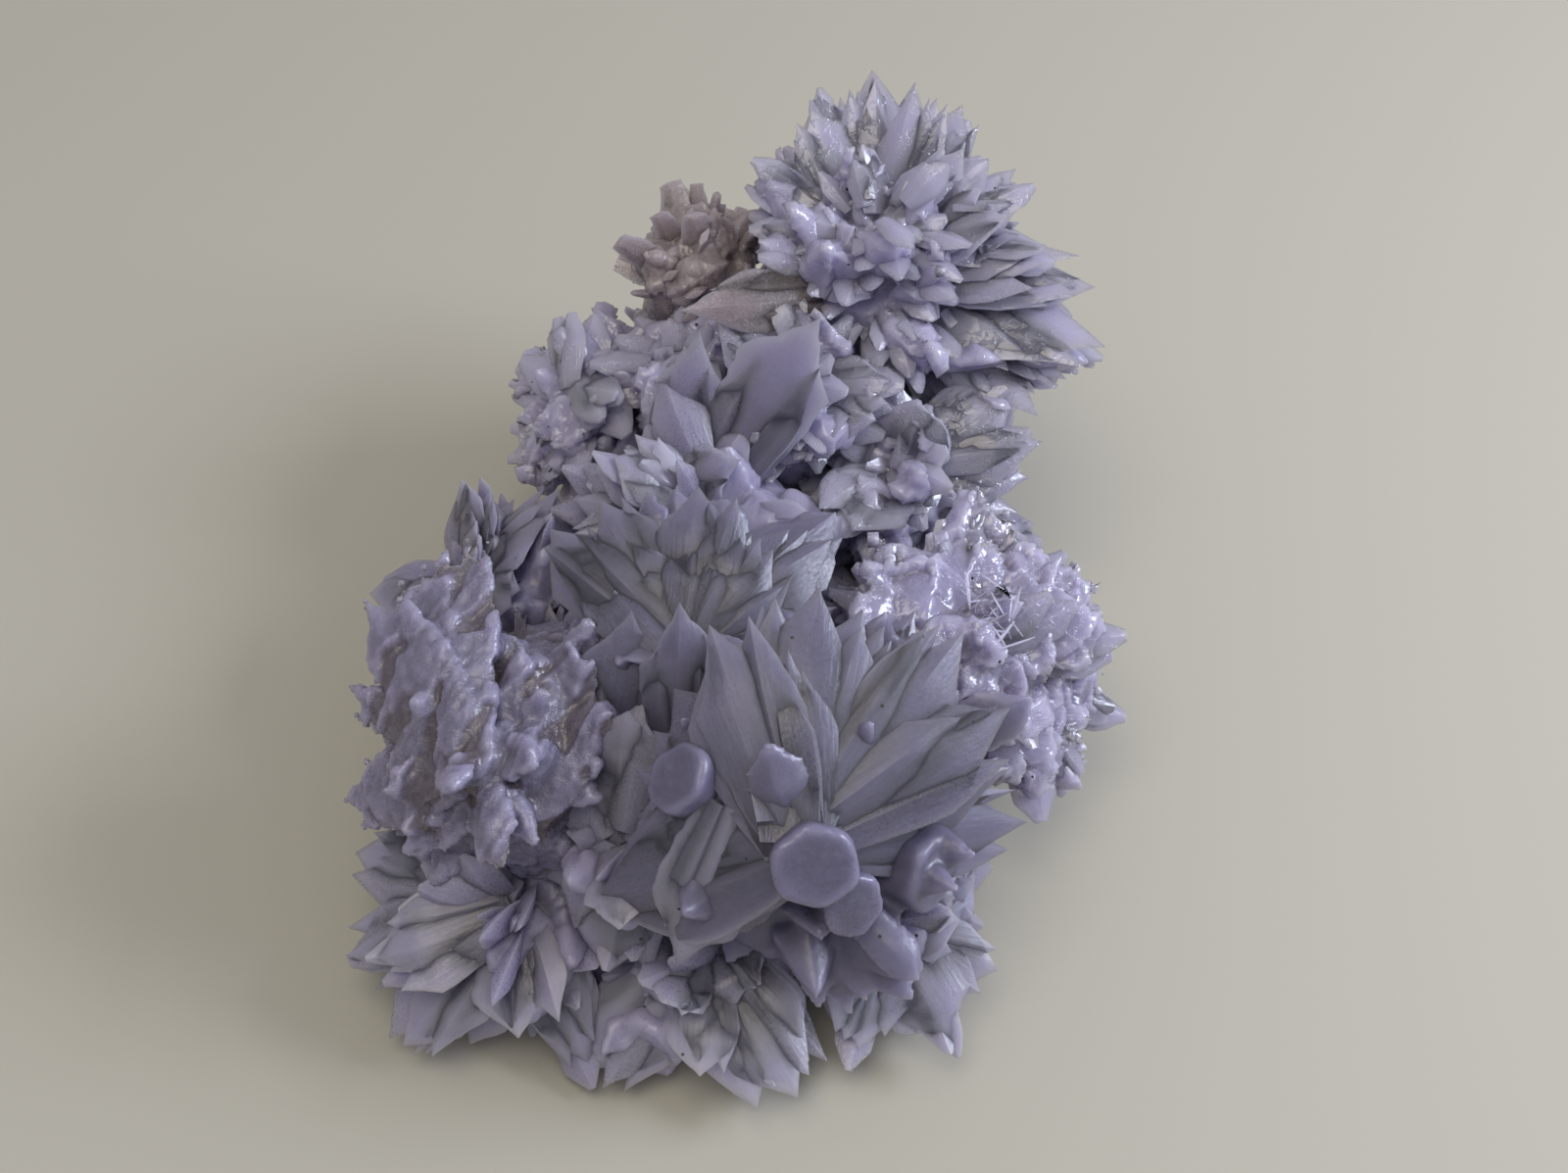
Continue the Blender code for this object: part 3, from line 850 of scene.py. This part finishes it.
class StageSettings(PropertyGroup):
    """Floor and light."""

    floor: FloatVectorProperty(
        name="Floor",
        description="Colour of the pale floor",
        default=(0.455, 0.435, 0.35),
        size=3,
        min=0,
        max=1,
        subtype="COLOR",
    )
    exposure: FloatProperty(
        name="Light",
        description="Strength of all the lights together",
        default=1.0,
        min=0.0,
        max=10.0,
    )


def shader_node(tree, kind, **sockets):
    made = tree.nodes.new(kind)
    for name, value in sockets.items():
        made.inputs[name].default_value = value
    return made


def new_material(name):
    material = bpy.data.materials.new(name)
    material.use_nodes = True
    return material, material.node_tree, material.node_tree.nodes["Principled BSDF"]


def new_group(name, inputs, outputs):
    """A node group whose sockets are all plain numbers."""
    group = bpy.data.node_groups.new(name, "ShaderNodeTree")
    for label, default in inputs.items():
        socket = group.interface.new_socket(label, in_out="INPUT", socket_type="NodeSocketFloat")
        socket.default_value = default
    for label in outputs:
        group.interface.new_socket(label, in_out="OUTPUT", socket_type="NodeSocketFloat")
    return group, group.nodes.new("NodeGroupInput"), group.nodes.new("NodeGroupOutput")


def use_group(tree, name, **values):
    made = tree.nodes.new("ShaderNodeGroup")
    made.node_tree = bpy.data.node_groups[name]
    for label, value in values.items():
        made.inputs[label].default_value = value
    return made


def feed(tree, socket, value):
    """Links a socket to another one, or sets it to a number or a colour."""
    if isinstance(value, bpy.types.NodeSocket):
        tree.links.new(value, socket)
    else:
        socket.default_value = (*value, 1) if isinstance(value, tuple) else value


def math_node(tree, operation, first, second, clamp=False):
    made = tree.nodes.new("ShaderNodeMath")
    made.operation = operation
    made.use_clamp = clamp
    feed(tree, made.inputs[0], first)
    feed(tree, made.inputs[1], second)
    return made.outputs[0]


def times(tree, first, second):
    return math_node(tree, "MULTIPLY", first, second)


def mix_colours(tree, share, first, second):
    made = tree.nodes.new("ShaderNodeMix")
    made.data_type = "RGBA"
    for slot, value in (("Factor", share), (6, first), (7, second)):
        feed(tree, made.inputs[slot], value)
    return made.outputs[2]


def lay_over_specimen(group, texture, size):
    """Lays a texture out by place on the specimen, with one of its units to a size in millimetres."""
    place_in = group.nodes.new("ShaderNodeTexCoord")
    feed(group, texture.inputs["Vector"], place_in.outputs["Object"])
    feed(group, texture.inputs["Scale"], math_node(group, "DIVIDE", 1000.0, size))


def speck_group():
    """Dark specks of dust scattered over a surface, as a mask."""
    group, given, out = new_group("Dust specks", {"Spacing": 2.2, "Size": 0.09, "Share": 0.25}, ("Mask",))
    cells = shader_node(group, "ShaderNodeTexVoronoi", Randomness=1.0)
    lay_over_specimen(group, cells, given.outputs["Spacing"])
    near = math_node(group, "LESS_THAN", cells.outputs["Distance"], given.outputs["Size"])
    split = group.nodes.new("ShaderNodeSeparateColor")
    feed(group, split.inputs[0], cells.outputs["Color"])
    chosen = math_node(group, "LESS_THAN", split.outputs[0], given.outputs["Share"])
    feed(group, out.inputs["Mask"], times(group, near, chosen))


def striae_group():
    """Fine lines along a crystal, from its own coordinates in millimetres."""
    group, given, out = new_group("Growth striae", {"Across": 2.4, "Along": 0.16}, ("Lines",))
    grain = group.nodes.new("ShaderNodeAttribute")
    grain.attribute_name = "grain"
    stretch = group.nodes.new("ShaderNodeVectorMath")
    stretch.operation = "MULTIPLY"
    factors = group.nodes.new("ShaderNodeCombineXYZ")
    for axis, label in enumerate(("Across", "Along", "Across")):
        feed(group, factors.inputs[axis], given.outputs[label])
    feed(group, stretch.inputs[0], grain.outputs["Vector"])
    feed(group, stretch.inputs[1], factors.outputs[0])
    noise = shader_node(group, "ShaderNodeTexNoise", Scale=1.0, Detail=3.0)
    feed(group, noise.inputs["Vector"], stretch.outputs[0])
    feed(group, out.inputs["Lines"], noise.outputs["Fac"])


def frosting_group():
    """A fine sugary frosting and cloudy patches, both by place on the specimen."""
    group, given, out = new_group("Frosting", {"Grain size": 0.35, "Patch size": 6.0}, ("Grain", "Patches"))
    for label, size, detail in (("Grain", "Grain size", 2.0), ("Patches", "Patch size", 3.0)):
        noise = shader_node(group, "ShaderNodeTexNoise", Detail=detail)
        lay_over_specimen(group, noise, given.outputs[size])
        feed(group, out.inputs[label], noise.outputs["Fac"])


def glinting_lace_group():
    """Fine bright winding lines in broken patches, as on etched calcite, as a mask: painted highlights."""
    group, given, out = new_group("Etched lace", {"Size": 1.5, "Line": 0.045, "Patch size": 5.0}, ("Rims",))
    values = []
    for size in ("Size", "Patch size"):
        noise = shader_node(group, "ShaderNodeTexNoise", Detail=3.0, Roughness=0.6)
        lay_over_specimen(group, noise, given.outputs[size])
        values.append(noise.outputs["Fac"])
    from_middle = math_node(group, "ABSOLUTE", math_node(group, "SUBTRACT", values[0], 0.5), 0.0)
    share = math_node(group, "DIVIDE", from_middle, given.outputs["Line"])
    line = math_node(group, "SUBTRACT", 1.0, share, clamp=True)
    broken = stretch_range(group, values[1], 0.44, 0.52)
    feed(group, out.inputs["Rims"], times(group, line, broken))


def growth_values(tree):
    """How pale a point is, from real frost, painted highlight and painted light, its crystal's own tone, and
    how deep it lies in a hollow or near a crystal's foot, which darkens it as painted shade, on etched
    calcite also as real brown.
    """
    read = tree.nodes.new("ShaderNodeAttribute")
    read.attribute_name = "growth"
    split = tree.nodes.new("ShaderNodeSeparateXYZ")
    tree.links.new(read.outputs["Vector"], split.inputs[0])
    return split.outputs[0], split.outputs[1], split.outputs[2]


def stretch_range(tree, value, low, high):
    """The value mapped so that low becomes 0 and high becomes 1."""
    made = tree.nodes.new("ShaderNodeMapRange")
    made.inputs["From Min"].default_value = low
    made.inputs["From Max"].default_value = high
    tree.links.new(value, made.inputs["Value"])
    return made.outputs[0]


def bump_from(tree, surface, heights, distance, strength):
    """Feeds the sum of the heights, given with their shares, to the surface's normal."""
    total = 0.0
    for value, share in heights:
        total = math_node(tree, "ADD", total, times(tree, value, share))
    bump = shader_node(tree, "ShaderNodeBump", Strength=strength, Distance=distance * MM)
    tree.links.new(total, bump.inputs["Height"])
    tree.links.new(bump.outputs[0], surface.inputs["Normal"])


def inner_light(surface, share, see_through):
    """How a crystal takes light in: scattered near the surface, and partly let through."""
    surface.inputs["Subsurface Weight"].default_value = share
    surface.inputs["Subsurface Radius"].default_value = (1.0, 0.95, 1.1)
    surface.inputs["Subsurface Scale"].default_value = 4.0 * MM
    surface.inputs["IOR"].default_value = CALCITE_IOR
    surface.inputs["Transmission Weight"].default_value = see_through


def scaled(colour, share):
    return tuple(channel * share for channel in colour)


def towards(colour, share, aim=LILAC_PALE):
    """The colour part of the way to another."""
    return tuple(own + (end - own) * share for own, end in zip(colour, aim))


def crystal(name, colour, pale, hollow_shade_colour, roughness, see_through, grain_depth, rims):
    """Calcite, paler on its ridges and in cloudy patches, and darker and browner in its hollows. The pale
    ridges are partly real frost and partly painted highlight and light, and the dark hollows are painted
    shade, on etched calcite also real brown.
    """
    _, tree, surface = new_material(name)
    olive = (colour[0] * 0.95, colour[1] * 0.95, colour[1] * 0.9)
    pale_frost_and_light, tone, hollow = growth_values(tree)
    frosting = use_group(tree, "Frosting")
    grain = frosting.outputs["Grain"]
    veils = use_group(tree, "Frosting", **{"Grain size": 0.6, "Patch size": 16.0})
    striae = use_group(tree, "Growth striae").outputs["Lines"]
    glinting_rims = use_group(tree, "Etched lace").outputs["Rims"]
    specks = use_group(tree, "Dust specks", Share=0.1).outputs["Mask"]
    clouds = stretch_range(tree, frosting.outputs["Patches"], 0.35, 0.7)
    base = mix_colours(tree, clouds, scaled(colour, 0.8), colour)
    layers = (
        (stretch_range(tree, veils.outputs["Patches"], 0.4, 0.65), 0.3, olive),
        (stretch_range(tree, veils.outputs["Grain"], 0.45, 0.75), 0.3, pale),
        (tone, 0.3, pale),
        # Dark hollows and crystal feet: painted shade
        (hollow, 0.85, hollow_shade_colour),
        (stretch_range(tree, striae, 0.5, 0.75), 0.25, pale),
        # Pale ridges, tips and edges: real frost with painted highlight, and painted light on lit sprays
        (pale_frost_and_light, 1.0, pale),
        # Bright winding lines: painted highlights; their relief goes to the bump
        (glinting_rims, rims, pale),
        (specks, 1.0, DUST),
    )
    for mask, share, shade in layers:
        base = mix_colours(tree, times(tree, mask, share), base, shade)
    feed(tree, surface.inputs["Base Color"], base)
    rough = math_node(tree, "ADD", times(tree, grain, 0.4), times(tree, tone, 0.15))
    feed(tree, surface.inputs["Roughness"], math_node(tree, "ADD", rough, roughness - 0.25, clamp=True))
    bump_from(tree, surface, ((striae, 1.0), (grain, grain_depth), (glinting_rims, rims * 2)), 0.12, 0.5)
    inner_light(surface, 0.85, see_through)


def clear_calcite(name, colour, density):
    """Clear calcite of the needles and the bright leaf: light goes through and is tinted inside."""
    _, tree, surface = new_material(name)
    frosting = use_group(tree, "Frosting", **{"Grain size": 0.5, "Patch size": 3.0})
    _, tone, _ = growth_values(tree)
    base = mix_colours(tree, times(tree, tone, 0.8), colour, scaled(colour, 1.12))
    feed(tree, surface.inputs["Base Color"], base)
    rough = times(tree, stretch_range(tree, frosting.outputs["Patches"], 0.4, 0.9), 0.5)
    feed(tree, surface.inputs["Roughness"], math_node(tree, "ADD", rough, 0.1))
    bump_from(tree, surface, ((frosting.outputs["Grain"], 1.0),), 0.1, 0.4)
    surface.inputs["IOR"].default_value = CALCITE_IOR
    surface.inputs["Transmission Weight"].default_value = 0.3
    absorb = shader_node(tree, "ShaderNodeVolumeAbsorption", Color=(*colour, 1), Density=density)
    output = next(node for node in tree.nodes if node.type == "OUTPUT_MATERIAL")
    feed(tree, output.inputs["Volume"], absorb.outputs[0])


def limestone(name, colour):
    """Dull brown limestone with darker patches and paler grains."""
    _, tree, surface = new_material(name)
    frosting = use_group(tree, "Frosting", **{"Grain size": 0.8, "Patch size": 9.0})
    patches = stretch_range(tree, frosting.outputs["Patches"], 0.3, 0.7)
    base = mix_colours(tree, patches, scaled(colour, 0.55), colour)
    grains = stretch_range(tree, frosting.outputs["Grain"], 0.5, 0.8)
    base = mix_colours(tree, grains, base, scaled(colour, 1.5))
    feed(tree, surface.inputs["Base Color"], base)
    surface.inputs["Roughness"].default_value = 0.9
    bump_from(tree, surface, ((frosting.outputs["Grain"], 1.0),), 0.6, 1.0)


def finish(name):
    return bpy.data.materials[name]


def join_specimen(piece, slot, *nodes):
    """Puts a finished piece on the specimen, in the place of the solids it stands for."""
    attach(piece, SPECIMEN)
    if nodes:
        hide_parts(*nodes)


def sprays_of(*habits):
    """Every spray of these habits: its node, growth centre, facing direction, habit and random draws."""
    for number, (node, (centre, pole, habit)) in enumerate(SPRAYS.items()):
        if habit in habits:
            chance = np.random.default_rng(SPRAY_SEED + number)
            yield node, np.array(centre, float), direction_of(*pole), habit, chance


class CALCITE_OT_finishes(Operator):
    """Makes the minerals' finishes"""

    bl_idname = "calcite.finishes"
    bl_label = "Finishes"

    def execute(self, context):
        settings = context.scene.calcite_finishes
        for make_group in (speck_group, striae_group, frosting_group, glinting_lace_group):
            make_group()
        colour, smoke = tuple(settings.calcite), tuple(settings.smoke)
        # The fans' calcite is a darker copy of the calcite: painted shade
        cloudy = (colour[0] * 0.53, colour[1] * 0.53, colour[2] * 0.56)
        veined = scaled(colour, 0.6)
        # Each finish's third colour is for its hollows: painted shade, on etched calcite also the real brown
        # of etched hollows
        shades = {
            "clouded calcite": (cloudy, towards(cloudy, 0.22), cloudy),
            "frosted calcite": (colour, towards(colour, 0.5), scaled(colour, 0.8)),
            "etched calcite": (veined, towards(veined, 0.36), ETCHED_HOLLOW_AND_SHADE),
            "glassy calcite": (towards(colour, 0.15), towards(colour, 0.65), GLASSY_HOLLOW_SHADE),
            "shard calcite": (towards(colour, 0.35), towards(colour, 0.9), colour),
            "smoky calcite": (smoke, towards(smoke, 0.5, SMOKE_PALE), scaled(smoke, 0.6)),
        }
        for name, (own, pale, hollow) in shades.items():
            crystal(name, own, pale, hollow, *FINISHES[name])
        clear_calcite("clear calcite", CLEAR, 40.0)
        limestone("limestone", tuple(settings.limestone))
        return {"FINISHED"}


class CALCITE_OT_rock(Operator):
    """Roughens the block of limestone that the crystals grew on"""

    bl_idname = "calcite.rock"
    bl_label = "Rock"

    def execute(self, context):
        growth = Growth()
        bm = merged_copy("matrix")
        core(growth, bm, np.zeros(3), 1.0)
        bm.free()
        rock = Skin(growth, "matrix_rock", ROCK_VOXEL, 0)
        wander = (soft_noise(rock.points / 4, 5) - 0.5)[:, None]
        step, slope, _ = plates(rock.points / 8 + 0.5 * wander, 6)
        chip, chip_slope, _ = plates(rock.points / 2.6 + 0.5 * wander, 9)
        broken = 3.0 * slope + 1.6 * (step - 0.5) + 1.1 * chip_slope + 0.4 * (chip - 0.5)
        height = broken + 0.5 * (soft_noise(rock.points / 1.3, 4) - 0.5)
        rock.lift((height - 0.4) * np.clip((rock.points[:, 2] - ROCK_FOOT) / ROCK_FADE, 0, 1))
        rock.points[rock.points[:, 2] < ROCK_FOOT, 2] = 0.0
        join_specimen(rock.finish(finish("limestone"), lowest=0.0), "limestone", "matrix")
        return {"FINISHED"}


def grow(node, centre, pole, habit, settings, chance, leaves):
    """One spray: its body, returned, and its leaves, which go to leaves."""
    stand, spacing, lengths, lie, blunt, clear = HABITS[habit]
    bm = merged_copy(node)
    reach = max((Vector(vert.co) / MM - Vector(centre)).dot(Vector(pole)) for vert in bm.verts)
    apex = centre + pole * reach * stand
    body = Growth()
    core(body, bm, centre, 0.95, pole, 0.2 if habit in ("fan", "spears") else 0.0)
    if leaves is None:
        leaves = body
    tips = []
    for azimuth, rise, length, width in LARGE_LEAVES.get(node, ()):
        tips.append(centre + direction_of(azimuth, rise) * length)
        spread_leaf(leaves, centre, apex, tips[-1], width, settings.flatness, chance)
    if habit == "fan":
        between_leaves(leaves, centre, apex, pole, tips, settings.width / MM, settings.flatness, chance)
    tip_leaves(leaves, node, bm, centre, pole, apex, settings, clear, chance)
    shards = Growth()
    knobs = KNOBS.get(node, ())
    scale_leaves(shards, bm, centre, pole, spacing * settings.spacing, lengths, lie, chance, blunt, knobs)
    if habit in SHARDS:
        look, slot = SHARDS[habit]
        join_specimen(shards.loose_piece(node + "_shards", finish(look), PAINTED_LIGHT_SHARES.get(node, 0.0)), slot)
    else:
        body.take(shards)
    knobs_of(body, node, centre, chance)
    bm.free()
    return body


def dress(skin, node, look, slot):
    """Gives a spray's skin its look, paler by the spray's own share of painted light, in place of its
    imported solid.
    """
    skin.frost_and_light = skin.frost_and_light + PAINTED_LIGHT_SHARES.get(node, 0.0)
    join_specimen(skin.finish(finish(look)), slot, node)


def about(points, centre, direction, degrees):
    """1 within so many degrees of a direction from the centre, falling to 0 a little further out."""
    away = points - centre
    limits = np.cos(np.radians((degrees + 12, degrees)))
    return between((away @ direction) / np.linalg.norm(away, axis=1), *limits)


class CALCITE_OT_clean_sprays(Operator):
    """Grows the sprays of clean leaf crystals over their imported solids"""

    bl_idname = "calcite.clean_sprays"
    bl_label = "Clean sprays"

    def execute(self, context):
        settings = context.scene.calcite_crystals
        for node, centre, pole, habit, chance in sprays_of("fan", "crown", "spears", "glassy"):
            leaves = Growth()
            body = grow(node, centre, pole, habit, settings, chance, leaves)
            skin = Skin(body, node + "_crystals", VOXELS.get(node, CLEAN_VOXEL), 2)
            if habit == "crown":
                etched_side = about(skin.points, centre, direction_of(-125, 55), 62)
                lace(skin, direction_of(-60, -20), 90, etched_side)
            elif habit == "glassy":
                lace(skin, direction_of(-50, -20), 91, np.ones(len(skin.points)))
            elif habit == "spears":
                etch(skin, direction_of(75, 40), 0.4)
            soften(skin)
            look = {"fan": "clouded calcite", "spears": "frosted calcite"}.get(habit, "glassy calcite")
            dress(skin, node, look, "frosted_calcite")
            paler = PAINTED_LIGHT_SHARES.get(node, 0.0)
            join_specimen(leaves.loose_piece(node + "_leaves", finish(look), paler), "frosted_calcite")
        return {"FINISHED"}


class CALCITE_OT_etched_sprays(Operator):
    """Grows the etched masses, and the fine needles in the pit of the right one"""

    bl_idname = "calcite.etched_sprays"
    bl_label = "Etched sprays"

    def execute(self, context):
        flow = unit(np.array([0.5, 0.8, 0.35]))
        settings = context.scene.calcite_crystals
        for node, centre, pole, habit, chance in sprays_of("lace", "sugary"):
            body = grow(node, centre, pole, habit, settings, chance, None)
            smoothing = 8 if habit == "lace" else 4
            skin = Skin(body, node + "_crystals", VOXELS.get(node, ETCHED_VOXEL), smoothing)
            if habit == "lace":
                etch(skin, flow, 0.75)
            else:
                lace(skin, direction_of(60, 50), 83 + len(node), np.ones(len(skin.points)))
            look = "etched calcite" if habit == "lace" else "glassy calcite"
            dress(skin, node, look, "etched_calcite")
        needles = Growth()
        chance = np.random.default_rng(NEEDLE_SEED)
        middle, radius = NEEDLE_PIT
        count, lengths, slimness = NEEDLES
        spots = np.array(middle) + chance.normal(0, radius / 2, (count, 3))
        ways = [tilted(direction_of(-60, 45), 60, chance) for _ in spots]
        laths(needles, spots, ways, lengths, slimness, chance)
        join_specimen(needles.loose_piece("needles", finish("clear calcite")), "etched_calcite")
        return {"FINISHED"}


class CALCITE_OT_brown_cluster(Operator):
    """Builds the smoky blocks at the upper left"""

    bl_idname = "calcite.brown_cluster"
    bl_label = "Brown cluster"

    def execute(self, context):
        settings = context.scene.calcite_crystals
        for node, centre, pole, habit, chance in sprays_of("blocks"):
            body = grow(node, centre, pole, habit, settings, chance, None)
            skin = Skin(body, node + "_crystals", BROWN_VOXEL, 3)
            lace(skin, direction_of(90, 60), 19, np.full(len(skin.points), 0.6))
            dress(skin, node, "smoky calcite", "smoky_calcite")
        return {"FINISHED"}


class CALCITE_OT_standing_leaves(Operator):
    """Sets up the clear-cut leaves that stand apart from the sprays"""

    bl_idname = "calcite.standing_leaves"
    bl_label = "Standing leaves"

    def execute(self, context):
        chance = np.random.default_rng(STANDING_SEED)
        facing = direction_of(-92, 48)
        for name, (foot, tip, width, look) in STANDING_LEAVES.items():
            growth = Growth()
            foot, tip = np.array(foot, float), np.array(tip, float)
            across = unit(np.cross(facing, tip - foot))
            leaf(growth, foot, tip, facing, width, width * 0.24, chance, rings=24, steps=6)
            for share, reach in ((-0.25, 0.8), (0.28, 0.7)):
                end = foot + (tip - foot) * reach + across * share * width
                slim = width * 0.5
                start = foot + across * share * width * 0.5
                turned = tilted(facing, 5, chance)
                leaf(growth, start, end, turned, slim, width * 0.22, chance, rings=16, steps=3)
            slot = "smoky_calcite" if look == "smoky calcite" else "frosted_calcite"
            # Frosted standing leaves are drawn paler: painted light
            paler = 0.35 if look == "frosted calcite" else 0.0
            join_specimen(growth.loose_piece(name, finish(look), paler), slot)
        return {"FINISHED"}


class CALCITE_OT_druse(Operator):
    """Covers the rock between the sprays with small crystals"""

    bl_idname = "calcite.druse"
    bl_label = "Druse"

    def execute(self, context):
        chance = np.random.default_rng(DRUSE_SEED)
        bm = merged_copy("matrix")
        corners = corners_of(bm)
        bm.free()
        corners = corners[corners[:, :, 2].min(axis=1) > 1]
        count, lengths, slimness = DRUSE
        spots, outward = scattered(corners, count, chance)
        growth = Growth()
        ways = [tilted(unit(out + (0, -0.2, 0.5)), 25, chance) for out in outward]
        laths(growth, spots, ways, lengths, slimness, chance)
        join_specimen(growth.loose_piece("druse", finish("frosted calcite")), "frosted_calcite")
        return {"FINISHED"}


def area_light(name, where, at, size, energy, colour):
    data = bpy.data.lights.new(name, "AREA")
    data.shape = "RECTANGLE"
    data.size, data.size_y = size
    data.energy = energy
    data.color = colour
    lamp = place(name, data)
    lamp.location = where
    lamp.rotation_euler = (Vector(at) - Vector(where)).to_track_quat("-Z", "Y").to_euler()


class CALCITE_OT_stage(Operator):
    """Sets the pale floor, the soft lights and the camera"""

    bl_idname = "calcite.stage"
    bl_label = "Stage"

    def execute(self, context):
        settings = context.scene.calcite_stage
        scene = context.scene
        bm = bmesh.new()
        bmesh.ops.create_grid(bm, x_segments=1, y_segments=1, size=FLOOR_REACH)
        mesh = bpy.data.meshes.new("floor")
        bm.to_mesh(mesh)
        bm.free()
        floor = place("floor", mesh)
        material, _, surface = new_material("pale floor")
        surface.inputs["Base Color"].default_value = (*settings.floor, 1)
        surface.inputs["Roughness"].default_value = 0.85
        mesh.materials.append(material)
        strength = settings.exposure
        for name, (where, at, size, power, colour) in LIGHTS.items():
            area_light(name, where, at, size, power * strength, colour)
        world = bpy.data.worlds.new("room")
        world.use_nodes = True
        room = world.node_tree.nodes["Background"]
        room.inputs[0].default_value = ROOM_COLOUR
        room.inputs[1].default_value = ROOM_STRENGTH * strength
        scene.world = world
        scene.view_settings.view_transform = "Standard"
        data = bpy.data.cameras.new("camera")
        data.lens = LENS
        data.sensor_width = SENSOR_WIDTH
        data.clip_start = 0.01
        camera = place("camera", data)
        camera.location = CAMERA_PLACE
        target = Vector(CAMERA_TARGET)
        camera.rotation_euler = (target - camera.location).to_track_quat("-Z", "Y").to_euler()
        scene.camera = camera
        return {"FINISHED"}


class CALCITE_PT_panel(Panel):
    """The specimen's steps and sizes"""

    bl_label = "Calcite on matrix"
    bl_idname = "CALCITE_PT_panel"
    bl_space_type = "VIEW_3D"
    bl_region_type = "UI"
    bl_category = "Calcite"

    def draw(self, context):
        for step in STEPS:
            self.layout.operator(step.bl_idname)


STEPS = (
    CALCITE_OT_finishes,
    CALCITE_OT_rock,
    CALCITE_OT_clean_sprays,
    CALCITE_OT_etched_sprays,
    CALCITE_OT_brown_cluster,
    CALCITE_OT_standing_leaves,
    CALCITE_OT_druse,
    CALCITE_OT_stage,
)
GROUPS = (CrystalSettings, FinishSettings, StageSettings)
CLASSES = (*GROUPS, *STEPS, CALCITE_PT_panel)


def register():
    for made in CLASSES:
        bpy.utils.register_class(made)
    bpy.types.Scene.calcite_crystals = PointerProperty(type=CrystalSettings)
    bpy.types.Scene.calcite_finishes = PointerProperty(type=FinishSettings)
    bpy.types.Scene.calcite_stage = PointerProperty(type=StageSettings)


def unregister():
    del bpy.types.Scene.calcite_crystals
    del bpy.types.Scene.calcite_finishes
    del bpy.types.Scene.calcite_stage
    for made in reversed(CLASSES):
        bpy.utils.unregister_class(made)


def main():
    register()
    bpy.ops.calcite.finishes()
    bpy.ops.calcite.rock()
    bpy.ops.calcite.clean_sprays()
    bpy.ops.calcite.etched_sprays()
    bpy.ops.calcite.brown_cluster()
    bpy.ops.calcite.standing_leaves()
    bpy.ops.calcite.druse()
    bpy.ops.calcite.stage()


if __name__ == "__main__":
    main()
